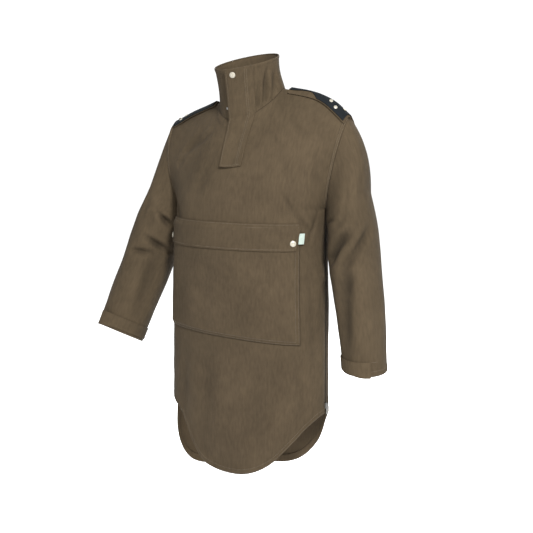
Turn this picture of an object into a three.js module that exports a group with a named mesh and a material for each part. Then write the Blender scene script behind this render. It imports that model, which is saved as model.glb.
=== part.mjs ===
import * as THREE from 'three';

// A smock of proofed cloth as it hangs when worn, empty inside.
// Millimetres. Z up, the front looks along -Y, the wearer's left is +X.
// Z is 0 at the two side points of the neck seam.

const WALL = 1.6;
const SEAM = 0.3;
const SHOULDER = {
  left: { x: 259, y: 36, z: -74 },
  right: { x: 244, y: 38, z: -89 },
};
// Share of the way from the neck to the armhole, and of the drop done there.
const SHOULDER_FALL = {
  left: [
    { way: 0, drop: 0 }, { way: 0.17, drop: 0.06 }, { way: 0.4, drop: 0.15 },
    { way: 0.58, drop: 0.27 }, { way: 0.78, drop: 0.5 }, { way: 0.94, drop: 0.83 },
    { way: 1, drop: 1 },
  ],
  right: [
    { way: 0, drop: 0 }, { way: 0.3, drop: 0.3 }, { way: 0.6, drop: 0.57 },
    { way: 0.85, drop: 0.85 }, { way: 1, drop: 1 },
  ],
};
// The neck seam and the rim both stand a little lower on the right.
const NECK = {
  x: 86, mid: 7, y: 10, z: 0, front: 74, back: 54, frontDrop: 60, backRise: 10, roll: 28,
};
const RIM = { x: 79, mid: -1, yMid: -8, half: 81, zMid: 74, tilt: 20, roll: 14 };
const UNDERARM = { x: 209, y: 24, z: -290 };
const ARMHOLE = { front: 44, back: 60, bulgeFront: 8, bulgeBack: 12 };
const ROUND = 2.2;

// Level of the body ring, its half width, depth to the front and to the back
// of the side line, and where the side line stands.
const LEVELS = [
  { z: -290, half: 209, front: 139, back: 88, mid: 24 },
  { z: -380, half: 208, front: 133, back: 90, mid: 16 },
  { z: -480, half: 215, front: 122, back: 92, mid: 8 },
  { z: -620, half: 218, front: 110, back: 97, mid: 2 },
  { z: -780, half: 219, front: 104, back: 102, mid: 0 },
  { z: -1000, half: 219, front: 102, back: 104, mid: 0 },
];

// Angle from the left side line and the height of the hem there.
const FRONT_HEM = [
  { at: 0, z: -796 }, { at: 14, z: -804 }, { at: 28, z: -826 }, { at: 40, z: -857 },
  { at: 50, z: -887 }, { at: 60, z: -919 }, { at: 70, z: -941 }, { at: 80, z: -954 },
  { at: 90, z: -957 }, { at: 100, z: -951 }, { at: 110, z: -936 }, { at: 118, z: -902 },
  { at: 126, z: -858 }, { at: 136, z: -822 }, { at: 150, z: -804 }, { at: 165, z: -797 },
  { at: 180, z: -797 },
];
const BACK_HEM = [
  { at: 0, z: -796 }, { at: 14, z: -800 }, { at: 30, z: -830 }, { at: 42, z: -884 },
  { at: 52, z: -917 }, { at: 64, z: -951 }, { at: 76, z: -972 }, { at: 90, z: -983 },
  { at: 106, z: -990 }, { at: 126, z: -1004 }, { at: 140, z: -1010 }, { at: 152, z: -999 },
  { at: 162, z: -966 }, { at: 170, z: -916 }, { at: 176, z: -857 }, { at: 180, z: -797 },
];
// How far the right edge of the back tail stands out, and from which height.
const TAIL_FLARE = { out: 29, from: -750, to: -960, at: 158, spread: 42 };

// Angle round the body and share along the shoulder seam, armhole to neck.
const COLUMNS = [
  { at: 0, shoulder: 0 }, { at: 8, shoulder: 0.03 }, { at: 16, shoulder: 0.09 },
  { at: 24, shoulder: 0.18 }, { at: 32, shoulder: 0.3 }, { at: 40, shoulder: 0.45 },
  { at: 47, shoulder: 0.62 }, { at: 54, shoulder: 0.81 }, { at: 60, shoulder: 1 },
];
const NECK_AT = 60;
const SLIT = { left: 6, right: 0, bottom: 0.5 };
// How a column arrives at its top: on the shoulder seam at the armhole, at
// the side of the neck and at the middle of the neck.
const LIFT = 240;
const FRONT_LIFT = [
  { at: 0, over: 150, up: 96 }, { at: 40, over: 150, up: 84 }, { at: 60, over: 135, up: 72 },
  { at: 75, over: 92, up: 140 }, { at: 90, over: 50, up: 185 },
];
const BACK_LIFT = [
  { at: 0, over: 150, up: 74 }, { at: 40, over: 150, up: 76 }, { at: 60, over: 140, up: 80 },
  { at: 75, over: 100, up: 130 }, { at: 90, over: 80, up: 150 },
];
const SHARES = [0, 0.1, 0.2, 0.3, 0.4, 0.5, 0.6, 0.7, 0.8, 0.9, 1];
const DROPS = [1, 0.88, 0.76, 0.63, 0.5, 0.37, 0.24, 0.12, 0.06];

// Middle of the sleeve, its half widths, and how far a ring leans.
const SLEEVE_LEFT = [
  { share: 0, x: 240, y: 33, z: -177, out: 54, fore: 84 },
  { share: 0.22, x: 273, y: 28, z: -296, out: 57.5, fore: 86 },
  { share: 0.45, x: 290, y: 12, z: -412, out: 62, fore: 78 },
  { share: 0.7, x: 318, y: -10, z: -532, out: 58, fore: 71 },
  { share: 1, x: 349, y: -48, z: -661, out: 51, fore: 65 },
];
const SLEEVE_RIGHT = [
  { share: 0, x: 234, y: 33, z: -180, out: 54, fore: 84 },
  { share: 0.22, x: 268, y: 32, z: -294, out: 55, fore: 80 },
  { share: 0.45, x: 302, y: 14, z: -408, out: 63, fore: 75 },
  { share: 0.7, x: 334, y: -18, z: -520, out: 62, fore: 70 },
  { share: 1, x: 364, y: -60, z: -640, out: 60, fore: 65 },
];
const SLEEVE_ROWS = [0, 0.03, 0.07, 0.12, 0.18, 0.25, 0.33, 0.42, 0.51, 0.6, 0.69, 0.78, 0.86, 0.93, 1];
const CAP_END = 0.34;
const CAP_PUFF = { left: 16, right: 5, over: 0.2 };
const HEM_LEAN = { left: { x: -0.3, y: 0.34 }, right: { x: 0, y: -0.06 } };

// Sides of the storm flap along its length: 0 rim, 1 neck seam, 2 foot.
const FLAP_SIDES = [
  { down: 0, left: -5, right: 66 }, { down: 1, left: -14, right: 52 },
  { down: 2, left: -21, right: 36 },
];
// How far round the body the columns are evened out between chest and top.
const SOFTEN = { reach: 14, low: 0.3, high: 0.22, side: 20 };
const FLAP = { bottom: 0.41, thick: 2.4, lift: 3.5, seam: 0.8 };
const NECK_ZIP = { bottom: 0.45, thick: 1.2, from: -9, to: 15 };
const NECK_SLIDER = {
  tip: -23, from: -1, to: 7, rows: [0.29, 0.25, 0.2, 0.16], off: 0.5, thick: 1.6,
};
const COLLAR_STUD = { x: 16, w: 0.88, off: 0.4 };
const POCKET_STUDS = [
  { name: 'pocket_stud_left', x: 164, z: -369 },
  { name: 'pocket_stud_right', x: -188, z: -370 },
];
const POCKET = {
  left: 177, leftFoot: 183, right: -199, top: -342, footLeft: -619, footRight: -597, thick: 2.4, proud: 6.2,
  edge: 3.2,
};
const POCKET_FLAP = {
  left: 178, leftFoot: 170, right: -200, top: -322, bottom: -388, thick: 2, proud: 9, seam: 2.8,
};
const TAG = { wide: 9, tall: 26, z: -345, thick: 1, lift: 7.4 };
const STRAP = {
  front: 23, frontIn: 14, back: 30, thick: 2.4, grip: 1.8, edge: 4, rise: 2.2, in: 0.9,
  left: 0.015, right: 0.03,
};
// Front limit of the gripping top, across the strap, along the shoulder seam.
const GRIP_FRONT = [
  { along: 0, across: -1 }, { along: 0.36, across: -1 }, { along: 0.5, across: -0.12 },
  { along: 0.66, across: -0.12 }, { along: 0.82, across: -0.4 }, { along: 1, across: -0.4 },
];
const STRAP_STUDS = [
  { along: 0.25, across: -0.28 }, { along: 0.165, across: -0.56 }, { along: 0.08, across: 0 },
];
const STUD = { radius: 7.5, tall: 2.6 };
const SMALL_STUD = { radius: 5.5, tall: 2.2 };
const CUFF_TAB = {
  thick: 2,
  sleeve_left: { low: 0.992, high: 0.93, from: -50, to: 122 },
  sleeve_right: { low: 0.985, high: 0.912, from: -70, to: 112 },
};
const SIDE_ZIP = { gap: 2, top: -335, foot: -790, thick: 1.2 };
const SIDE_SLIDER = {
  x: 219.6, cheek: 1.2, floor: 2.6, tall: 6, wide: 4.6, z: { low: -784, high: -771 },
};
const SIDE_PULL = { x: 223.5, z: -774, half: 0.8, wide: 3, long: 24 };
const FACING = { shares: [0.02, 0.13, 0.25], thick: 1.2 };

const CLOTH = { color: 0x5a4f3c, roughness: 0.92, metalness: 0 };
const GRIP = { color: 0x14161c, roughness: 0.75, metalness: 0 };
const TAPE = { color: 0x20222b, roughness: 0.8, metalness: 0 };
const METAL = { color: 0xcfc8b4, roughness: 0.38, metalness: 0.8 };
const PALE = { color: 0xc9dcc6, roughness: 0.85, metalness: 0 };

const rad = (deg) => (deg * Math.PI) / 180;
const V = (x, y, z) => new THREE.Vector3(x, y, z);
const mix = (a, b, s) => a + (b - a) * s;
const clamp01 = (s) => Math.min(1, Math.max(0, s));
const ease = (s) => clamp01(s) * clamp01(s) * (3 - 2 * clamp01(s));

// Value of one column of a table at a place, with a smooth curve through it.
function lookUp(table, key, name, at) {
  const rising = table[table.length - 1][key] > table[0][key];
  let i = 0;
  while (i < table.length - 2 && (rising ? at > table[i + 1][key] : at < table[i + 1][key])) i += 1;
  const slope = (k) => {
    const a = table[Math.max(0, k - 1)];
    const b = table[Math.min(table.length - 1, k + 1)];
    return (b[name] - a[name]) / (b[key] - a[key]);
  };
  const p = table[i];
  const q = table[i + 1];
  const span = q[key] - p[key];
  const s = clamp01((at - p[key]) / span);
  const h01 = s * s * (3 - 2 * s);
  const h10 = s * (1 - s) * (1 - s);
  const h11 = s * s * (s - 1);
  return p[name] * (1 - h01) + q[name] * h01 + (h10 * slope(i) + h11 * slope(i + 1)) * span;
}

// Point of the body below the armholes. Angles under 180 are the front.
function ringPoint(at, z) {
  const level = (name) => lookUp(LEVELS, 'z', name, z);
  const c = Math.cos(rad(at));
  const s = Math.sin(rad(at));
  const power = 2 / ROUND;
  const depth = s >= 0 ? level('front') : level('back');
  const x = level('half') * Math.sign(c) * Math.abs(c) ** power;
  const y = level('mid') - depth * Math.sign(s) * Math.abs(s) ** power;
  const away = (((at + 360) % 360) - (360 - TAIL_FLARE.at)) / TAIL_FLARE.spread;
  const down = ease((TAIL_FLARE.from - z) / (TAIL_FLARE.from - TAIL_FLARE.to));
  const flare = s < 0 ? TAIL_FLARE.out * down * Math.exp(-away * away) : 0;
  return V(x + flare * c, y - flare * s, z);
}

// Shoulder seam from the armhole (0) to the neck (1), on the side of sign.
function shoulderPoint(share, sign) {
  const side = sign > 0 ? 'left' : 'right';
  const end = SHOULDER[side];
  const fall = lookUp(SHOULDER_FALL[side], 'way', 'drop', 1 - share);
  return V(
    mix(sign * end.x, NECK.mid + sign * NECK.x, share),
    mix(end.y, NECK.y, share),
    mix(neckPoint(0, sign, true).z, end.z, fall),
  );
}

// Neck seam: angle 0 is the side point, 90 the middle of front or back.
function neckPoint(angle, sign, front) {
  const s = Math.sin(rad(angle));
  const x = NECK.mid + sign * NECK.x * Math.cos(rad(angle));
  const y = NECK.y + (front ? -NECK.front : NECK.back) * s;
  const z = NECK.z + (front ? -NECK.frontDrop * s ** 1.15 : NECK.backRise * s * s);
  return V(x, y, z - (NECK.roll * (NECK.mid + NECK.x - x)) / (2 * NECK.x));
}

// Armhole loop: 0 underarm, 90 front, 180 shoulder point, 270 back.
function armholePoint(turn, sign) {
  const c = Math.cos(rad(turn));
  const s = Math.sin(rad(turn));
  const up = (1 - c) / 2;
  const reach = s >= 0 ? ARMHOLE.front : ARMHOLE.back;
  const bulge = s >= 0 ? ARMHOLE.bulgeFront : ARMHOLE.bulgeBack;
  const end = sign > 0 ? SHOULDER.left : SHOULDER.right;
  return V(
    sign * (mix(UNDERARM.x, end.x, up) + bulge * Math.abs(s)),
    mix(UNDERARM.y, end.y, up) - reach * s,
    mix(UNDERARM.z, end.z, up),
  );
}

// A column of the body: its angle and the point where it ends at the top.
function columnAt(at, front) {
  const near = at <= 90;
  const sign = near ? 1 : -1;
  const from = near ? at : 180 - at;
  const top = from <= NECK_AT
    ? shoulderPoint(lookUp(COLUMNS, 'at', 'shoulder', from), sign)
    : neckPoint(((from - NECK_AT) / (90 - NECK_AT)) * 90, sign, front);
  return { sign, from, top, at: front ? at : -at };
}

// Point of the body between the armhole level (0) and its top edge (1).
function upperPoint(at, front, v) {
  const col = columnAt(at, front);
  const base = ringPoint(col.at, UNDERARM.z);
  const up = V(0, 0, LIFT);
  const lift = front ? FRONT_LIFT : BACK_LIFT;
  const over = V(
    0,
    (front ? 1 : -1) * lookUp(lift, 'at', 'over', col.from),
    lookUp(lift, 'at', 'up', col.from),
  );
  const h01 = v * v * (3 - 2 * v);
  const h10 = v * (1 - v) * (1 - v);
  const h11 = v * v * (v - 1);
  const hermite = (a, b) => a.clone().multiplyScalar(1 - h01).addScaledVector(b, h01)
    .addScaledVector(up, h10).addScaledVector(over, h11);
  const p = hermite(base, col.top);
  const weight = Math.max(0, 1 - col.from / 54) ** 2;
  if (weight > 0) {
    const side = ringPoint(col.sign > 0 ? 0 : 180, UNDERARM.z);
    const edge = hermite(side, shoulderPoint(0, col.sign));
    const turn = front ? 180 * v : 360 - 180 * v;
    p.addScaledVector(armholePoint(turn, col.sign).sub(edge), weight);
  }
  return p;
}

// The same point, evened out with the columns beside it.
function softPoint(at, front, v) {
  const reach = SOFTEN.reach * ease(v / SOFTEN.low) * ease((1 - v) / SOFTEN.high)
    * ease(Math.min(at, 180 - at) / SOFTEN.side);
  const p = V(0, 0, 0);
  [[-1, 1], [-0.5, 2], [0, 2], [0.5, 2], [1, 1]].forEach(([step, part]) => {
    p.addScaledVector(upperPoint(at + step * reach, front, v), part / 8);
  });
  return p;
}

// Point of the standing collar, from the neck seam (0) to the rim (1).
function collarPoint(angle, sign, front, w) {
  const a = neckPoint(angle, sign, front);
  const s = Math.sin(rad(angle)) * (front ? -1 : 1);
  const y = RIM.yMid + RIM.half * s;
  const b = V(RIM.mid + sign * RIM.x * Math.cos(rad(angle)), y, RIM.zMid + RIM.tilt * s);
  b.z -= (RIM.roll * (RIM.mid + RIM.x - b.x)) / (2 * RIM.x);
  const p = a.clone().lerp(b, w);
  const waist = 4 * Math.sin(Math.PI * w);
  p.x -= sign * waist * Math.cos(rad(angle));
  p.y -= waist * s * (front ? 0.3 : 1);
  return p;
}

// Point of a sleeve: turn as on the armhole, share from armhole to hem.
function sleevePoint(table, lean, sign, turn, share) {
  const c = Math.cos(rad(turn));
  const s = Math.sin(rad(turn));
  const at = (name, where) => lookUp(table, 'share', name, where);
  const mid = (where) => V(sign * at('x', where), at('y', where), at('z', where));
  const axis = mid(Math.min(1, share + 0.02)).sub(mid(Math.max(0, share - 0.02))).normalize();
  const late = ease((share - 0.6) / 0.4);
  axis.add(V(sign * lean.x * late, lean.y * late, 0)).normalize();
  const yaw = rad(10);
  const fore = V(sign * Math.sin(yaw), -Math.cos(yaw), 0);
  fore.addScaledVector(axis, -fore.dot(axis)).normalize();
  const out = new THREE.Vector3().crossVectors(fore, axis).normalize();
  if (out.x * sign < 0) out.negate();
  const ring = mid(share).addScaledVector(out, -at('out', share) * c)
    .addScaledVector(fore, at('fore', share) * s);
  const start = armholePoint(turn, sign).add(mid(share)).sub(mid(0));
  start.x -= 0.8 * (mid(share).x - mid(0).x) * ((1 + c) / 2) ** 2;
  start.lerp(ring, ease(share / CAP_END));
  const puff = (sign > 0 ? CAP_PUFF.left : CAP_PUFF.right) * ((1 - c) / 2) ** 2;
  start.x += sign * puff * Math.sin(Math.PI * Math.min(1, share / CAP_PUFF.over));
  return start;
}

// Unit normals of a grid of points, by central differences.
function gridNormals(rows, closed, sign) {
  const last = rows[0].length - 1;
  return rows.map((row, r) => row.map((p, c) => {
    const before = closed ? row[(c + last) % (last + 1)] : row[Math.max(0, c - 1)];
    const after = closed ? row[(c + 1) % (last + 1)] : row[Math.min(last, c + 1)];
    const below = rows[Math.max(0, r - 1)][c];
    const above = rows[Math.min(rows.length - 1, r + 1)][c];
    return after.clone().sub(before).cross(above.clone().sub(below)).normalize()
      .multiplyScalar(sign);
  }));
}

// One closed body from an outer and an inner grid and the cells to keep.
function closedWall(outer, inner, closed, keep) {
  const high = outer.length;
  const wide = outer[0].length;
  const cells = closed ? wide : wide - 1;
  const kept = (r, c) => {
    if (r < 0 || r >= high - 1) return false;
    if (!closed && (c < 0 || c >= cells)) return false;
    return keep ? keep(r, (c + cells) % cells) : true;
  };
  const spot = [];
  const index = new Map();
  const id = (r, c, side) => {
    const key = `${r},${c % wide},${side}`;
    if (!index.has(key)) {
      index.set(key, spot.length / 3);
      const p = (side ? inner : outer)[r][c % wide];
      spot.push(p.x, p.y, p.z);
    }
    return index.get(key);
  };
  const faces = [];
  const quad = (a, b, c, d) => faces.push(a, b, c, a, c, d);
  for (let r = 0; r < high - 1; r += 1) {
    for (let c = 0; c < cells; c += 1) {
      if (!kept(r, c)) continue;
      const o = [id(r, c, 0), id(r, c + 1, 0), id(r + 1, c + 1, 0), id(r + 1, c, 0)];
      const i = [id(r, c, 1), id(r, c + 1, 1), id(r + 1, c + 1, 1), id(r + 1, c, 1)];
      quad(o[0], o[1], o[2], o[3]);
      quad(i[3], i[2], i[1], i[0]);
      if (!kept(r - 1, c)) quad(o[1], o[0], i[0], i[1]);
      if (!kept(r + 1, c)) quad(o[3], o[2], i[2], i[3]);
      if (!kept(r, c - 1)) quad(o[0], o[3], i[3], i[0]);
      if (!kept(r, c + 1)) quad(o[2], o[1], i[1], i[2]);
    }
  }
  const geometry = new THREE.BufferGeometry();
  geometry.setAttribute('position', new THREE.Float32BufferAttribute(spot, 3));
  geometry.setIndex(faces);
  return facingOut(geometry);
}

// Turns the faces round when the enclosed volume comes out negative.
function facingOut(geometry) {
  const p = geometry.getAttribute('position');
  const order = geometry.getIndex().array;
  const [a, b, c] = [V(0, 0, 0), V(0, 0, 0), V(0, 0, 0)];
  let volume = 0;
  for (let k = 0; k < order.length; k += 3) {
    a.fromBufferAttribute(p, order[k]);
    b.fromBufferAttribute(p, order[k + 1]);
    c.fromBufferAttribute(p, order[k + 2]);
    volume += a.dot(b.cross(c));
  }
  if (volume < 0) {
    for (let k = 0; k < order.length; k += 3) [order[k], order[k + 1]] = [order[k + 1], order[k]];
  }
  geometry.computeVertexNormals();
  return geometry;
}

const whole = new THREE.Group();
function add(name, geometry, look) {
  const mesh = new THREE.Mesh(geometry, new THREE.MeshStandardMaterial(look));
  mesh.name = name;
  whole.add(mesh);
  return mesh;
}

// The sewn panels share their edge normals, so that their inner faces meet.
const panels = [];
function panel(name, rows, closed, sign, inset, keep) {
  panels.push({ name, rows, closed, inset, keep, normals: gridNormals(rows, closed, sign) });
}
function sewPanels() {
  const shared = new Map();
  const key = (p) => `${p.x.toFixed(2)},${p.y.toFixed(2)},${p.z.toFixed(2)}`;
  const each = (work) => panels.forEach((one) => one.rows.forEach((row, r) => row.forEach((p, c) => {
    work(one, r, c, key(p));
  })));
  each((one, r, c, k) => {
    if (!shared.has(k)) shared.set(k, V(0, 0, 0));
    shared.get(k).add(one.normals[r][c]);
  });
  each((one, r, c, k) => one.normals[r][c].copy(shared.get(k)).normalize());
  panels.forEach((one) => {
    const inner = one.rows.map((row, r) => row.map((p, c) => p.clone()
      .addScaledVector(one.normals[r][c], -WALL)));
    const outer = one.rows.map((row) => row.map((p) => p.clone()));
    [outer, inner].forEach((grid) => pullEdges(grid, one.closed, one.inset));
    add(one.name, closedWall(outer, inner, one.closed, one.keep), CLOTH);
  });
}

// Draws the edges of a grid back, so that two panels stand apart at a seam.
function pullEdges(grid, closed, inset) {
  const source = grid.map((row) => row.map((p) => p.clone()));
  const last = grid.length - 1;
  const end = grid[0].length - 1;
  const pull = (p, from, to, far) => p.addScaledVector(to.clone().sub(from).normalize(), far);
  grid[0].forEach((p, c) => pull(p, source[0][c], source[1][c], inset.low));
  if (inset.shift) grid[0].forEach((p) => p.add(inset.shift));
  grid[last].forEach((p, c) => pull(p, source[last][c], source[last - 1][c], inset.high));
  if (closed) return;
  grid.forEach((row, r) => {
    pull(row[0], source[r][0], source[r][1], inset.first(source[r][0]));
    pull(row[end], source[r][end], source[r][end - 1], inset.last(source[r][end]));
  });
}

// A piece laid on a surface: base points, its height over them, its wall.
function laid(name, rows, sign, height, thick, look, keep = null) {
  const normals = gridNormals(rows, false, sign);
  const lift = (off) => rows.map((row, r) => row.map((p, c) => p.clone()
    .addScaledVector(normals[r][c], height(r, c) + off)));
  return add(name, closedWall(lift(thick), lift(0), false, keep), look);
}

const half = SEAM / 2 + 0.05;
const small = () => half;
const zipGap = (p) => (p.z < SIDE_ZIP.top ? SIDE_ZIP.gap : half);
const neckAngles = [22, 44, 60, 72, 82];
const atNeck = (angle) => NECK_AT + (angle / 90) * (90 - NECK_AT);
const slitAngle = (x) => (Math.acos((NECK.mid - x) / NECK.x) * 180) / Math.PI;
const frontAt = [
  ...COLUMNS.map((row) => row.at),
  ...neckAngles.map(atNeck),
  180 - atNeck(slitAngle(SLIT.left)),
  180 - atNeck(slitAngle(SLIT.right)),
  ...[76, 62, 44, 22].map((a) => 180 - atNeck(a)),
  ...COLUMNS.map((row) => 180 - row.at).reverse(),
];
const backAt = [
  ...COLUMNS.map((row) => row.at),
  ...[22, 45, 68, 90].map(atNeck),
  ...[68, 45, 22].map((a) => 180 - atNeck(a)),
  ...COLUMNS.map((row) => 180 - row.at).reverse(),
];

function bodyRows(columns, front, hem) {
  const sign = front ? 1 : -1;
  const low = DROPS.map((drop) => columns.map((at) => {
    const end = lookUp(hem, 'at', 'z', at);
    return ringPoint(sign * at, mix(UNDERARM.z, end, drop));
  }));
  const high = SHARES.map((v) => columns.map((at) => softPoint(at, front, v)));
  return [...low, ...high];
}
const slitCell = frontAt.findIndex((at) => at > 90);
const slitRow = DROPS.length + SHARES.indexOf(SLIT.bottom);
panel('front_body', bodyRows(frontAt, true, FRONT_HEM), false, -1,
  { low: 0, high: half, first: zipGap, last: small },
  (r, c) => !(c === slitCell && r >= slitRow));
panel('back_body', bodyRows(backAt, false, BACK_HEM), false, 1,
  { low: 0, high: half, first: zipGap, last: small }, null);

// Collar: from the left edge of the neck opening round the back to the right.
const collarStops = [
  { angle: slitAngle(SLIT.left), sign: -1, front: true },
  ...[82, 72, 60, 44, 22, 0].map((angle) => ({ angle, sign: 1, front: true })),
  ...[22, 45, 68, 90].map((angle) => ({ angle, sign: 1, front: false })),
  ...[68, 45, 22].map((angle) => ({ angle, sign: -1, front: false })),
  ...[0, 22, 44, 62, 76].map((angle) => ({ angle, sign: -1, front: true })),
  { angle: slitAngle(SLIT.right), sign: -1, front: true },
];
const COLLAR_ROWS = [0, 0.14, 0.32, 0.5, 0.68, 0.86, 1];
panel('collar', COLLAR_ROWS.map((w) => collarStops.map((s) => (
  collarPoint(s.angle, s.sign, s.front, w)))), false, 1,
{ low: half + 0.2, high: 0, first: () => 0, last: () => 0 }, null);

// Sleeves take the armhole points of the two body panels as their first ring.
const turns = [...SHARES.map((v) => 180 * v), ...SHARES.slice(1, -1).reverse().map((v) => 360 - 180 * v)];
const sleeves = [
  { name: 'sleeve_left', table: SLEEVE_LEFT, sign: 1, lean: HEM_LEAN.left },
  { name: 'sleeve_right', table: SLEEVE_RIGHT, sign: -1, lean: HEM_LEAN.right },
];
sleeves.forEach((one) => panel(one.name, SLEEVE_ROWS.map((share) => turns.map((turn) => (
  sleevePoint(one.table, one.lean, one.sign, turn, share)))), true, -one.sign,
{ low: 0, high: 0, shift: V(one.sign * SEAM * 4, 0, 0), first: small, last: small }, null));
sewPanels();


// Column angle at which a row of the upper front stands at a given x.
function angleAtX(x, point) {
  let low = 4;
  let high = 176;
  for (let k = 0; k < 40; k += 1) {
    const mid = (low + high) / 2;
    if (point(mid).x > x) low = mid;
    else high = mid;
  }
  return (low + high) / 2;
}
const lowerAngle = (x, z) => angleAtX(x, (at) => ringPoint(at, z));
const steps = (a, b, n) => Array.from({ length: n + 1 }, (_, k) => mix(a, b, k / n));
const onFront = (x, z) => ringPoint(lowerAngle(x, z), z);

// Storm flap: down the collar and the upper front over the neck opening.
function flapPoint(x, row) {
  if (row.w !== undefined) {
    const near = (NECK.mid - x) / NECK.x;
    const angle = (Math.acos(Math.min(1, Math.abs(near))) * 180) / Math.PI;
    return collarPoint(angle, near > 0 ? -1 : 1, true, row.w);
  }
  return softPoint(angleAtX(x, (at) => softPoint(at, true, row.v)), true, row.v);
}
const flapRows = [
  ...[1, 0.86, 0.68, 0.5, 0.32, 0.14].map((w) => ({ w })),
  ...[1, 0.94, 0.88, 0.8, 0.7, 0.6, 0.5, FLAP.bottom].map((v) => ({ v })),
];
const flapSides = [0, 0.1, 0.25, 0.4, 0.55, 0.7, 0.85, 1];
const flapX = (row, s) => {
  const down = row.w !== undefined ? 1 - row.w : 1 + (1 - row.v) / (1 - FLAP.bottom);
  const side = (name) => lookUp(FLAP_SIDES, 'down', name, down);
  return mix(side('left'), side('right'), s);
};
laid('storm_flap', flapRows.map((row) => flapSides.map((s) => flapPoint(flapX(row, s), row))), -1,
(r, c) => mix(FLAP.lift, FLAP.seam, ease(flapSides[c] / 0.8)), FLAP.thick, CLOTH);

// Tape of the neck zip, inside the opening.
const tapeRows = [
  ...[0.97, 0.86, 0.68, 0.5, 0.32, 0.14].map((w) => ({ w })),
  ...[1, 0.94, 0.88, 0.8, 0.7, 0.6, 0.5, NECK_ZIP.bottom].map((v) => ({ v })),
];
laid('neck_zip_tape', tapeRows.map((row) => steps(NECK_ZIP.from, NECK_ZIP.to, 4)
  .map((x) => flapPoint(x, row))), -1,
  () => -WALL - 1 - NECK_ZIP.thick, NECK_ZIP.thick, TAPE);

// Slider of the neck zip with its pull, flat beneath the free edge of the flap.
const sliderX = [...steps(NECK_SLIDER.tip, NECK_SLIDER.from, 3), NECK_SLIDER.to];
laid('neck_zip_slider', NECK_SLIDER.rows.map((w) => sliderX.map((x) => flapPoint(x, { w }))), -1,
  () => NECK_SLIDER.off, NECK_SLIDER.thick, METAL, (r, c) => c === 3 || r === 1);

// Pocket: a flat bag sewn at its sides and foot, open under its flap.
const pocketWide = POCKET.left - POCKET.right;
const pocketE = steps(0, 1, 28);
const pocketS = [0, 0.06, 0.2, 0.36, 0.52, 0.68, 0.84, 0.95, 1];
const pocketFoot = (e) => mix(POCKET.footLeft, POCKET.footRight, e);
laid('pocket_panel', pocketS.map((s) => pocketE.map((e) => onFront(
  mix(mix(POCKET.left, POCKET.leftFoot, s), POCKET.right, e),
  mix(POCKET.top, pocketFoot(e), s),
))), 1, (r, c) => {
  const e = pocketE[c];
  const side = Math.min(1, (Math.min(e, 1 - e) * pocketWide) / 14);
  const foot = Math.min(1, ((1 - pocketS[r]) * (POCKET.top - pocketFoot(e))) / 14);
  return mix(POCKET.edge, POCKET.proud, Math.min(side, foot)) - POCKET.thick;
}, POCKET.thick, CLOTH);
const lidZ = [0, 0.1, 0.24, 0.45, 0.72, 1];
const lidX = (s) => steps(mix(POCKET_FLAP.left, POCKET_FLAP.leftFoot, s), POCKET_FLAP.right, 28);
laid('pocket_flap', lidZ.map((s) => lidX(s).map((x) => (
  onFront(x, mix(POCKET_FLAP.top, POCKET_FLAP.bottom, s))))), 1,
(r) => mix(POCKET_FLAP.seam, POCKET_FLAP.proud, ease(lidZ[r] / 0.24)) - POCKET_FLAP.thick,
POCKET_FLAP.thick, CLOTH);
const lidEdge = (z) => mix(POCKET_FLAP.left, POCKET_FLAP.leftFoot,
  (POCKET_FLAP.top - z) / (POCKET_FLAP.top - POCKET_FLAP.bottom));
laid('pocket_tag', [0, 0.5, 1].map((s) => TAG.z - TAG.tall * s).map((z) => [0, 0.5, 1].map((e) => (
  onFront(lidEdge(z) + 0.6 + TAG.wide * e, z)))), -1,
() => TAG.lift, TAG.thick, PALE);

// Snap stud: a low round cap standing on a point, turned to its normal.
function stud(name, point, normal, size) {
  const r = size.radius;
  const t = size.tall;
  const profile = [[0, 0], [r * 0.7, 0], [r, t * 0.35], [r * 0.86, t * 0.75], [r * 0.5, t], [0, t]]
    .map(([x, y]) => new THREE.Vector2(x, y));
  const turned = new THREE.LatheGeometry(profile, 14);
  const geometry = weld(turned);
  const turn = new THREE.Quaternion().setFromUnitVectors(V(0, 1, 0), normal.clone().normalize());
  geometry.applyQuaternion(turn);
  geometry.translate(point.x, point.y, point.z);
  add(name, facingOut(geometry), METAL);
}
// Shares equal points and drops the faces that come to nothing.
function weld(source) {
  const p = source.getAttribute('position');
  const index = new Map();
  const spot = [];
  const ids = Array.from(source.getIndex().array, (k) => {
    const key = [p.getX(k), p.getY(k), p.getZ(k)].map((n) => (Math.round(n * 1e4) / 1e4) + 0).join();
    if (!index.has(key)) {
      index.set(key, spot.length / 3);
      spot.push(p.getX(k), p.getY(k), p.getZ(k));
    }
    return index.get(key);
  });
  const faces = [];
  for (let k = 0; k < ids.length; k += 3) {
    const [a, b, c] = [ids[k], ids[k + 1], ids[k + 2]];
    if (a !== b && b !== c && a !== c) faces.push(a, b, c);
  }
  const geometry = new THREE.BufferGeometry();
  geometry.setAttribute('position', new THREE.Float32BufferAttribute(spot, 3));
  geometry.setIndex(faces);
  return geometry;
}
// Outward normal of a surface given by two parameters.
function normalAt(point, a, b, step) {
  const du = point(a + step, b).sub(point(a - step, b));
  const dv = point(a, b + step).sub(point(a, b - step));
  return du.cross(dv).normalize();
}
{
  const at = (x, w) => flapPoint(x, { w });
  const n = normalAt((x, k) => at(x, k / 100), COLLAR_STUD.x, COLLAR_STUD.w * 100, 1);
  if (n.y > 0) n.negate();
  const p = at(COLLAR_STUD.x, COLLAR_STUD.w).addScaledVector(n, FLAP.lift + FLAP.thick + COLLAR_STUD.off);
  stud('collar_stud', p, n, STUD);
}
POCKET_STUDS.forEach(({ name, x, z }) => {
  const n = normalAt(onFront, x, z, 1);
  if (n.y > 0) n.negate();
  stud(name, onFront(x, z).addScaledVector(n, POCKET_FLAP.proud + 0.35), n, STUD);
});

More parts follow.
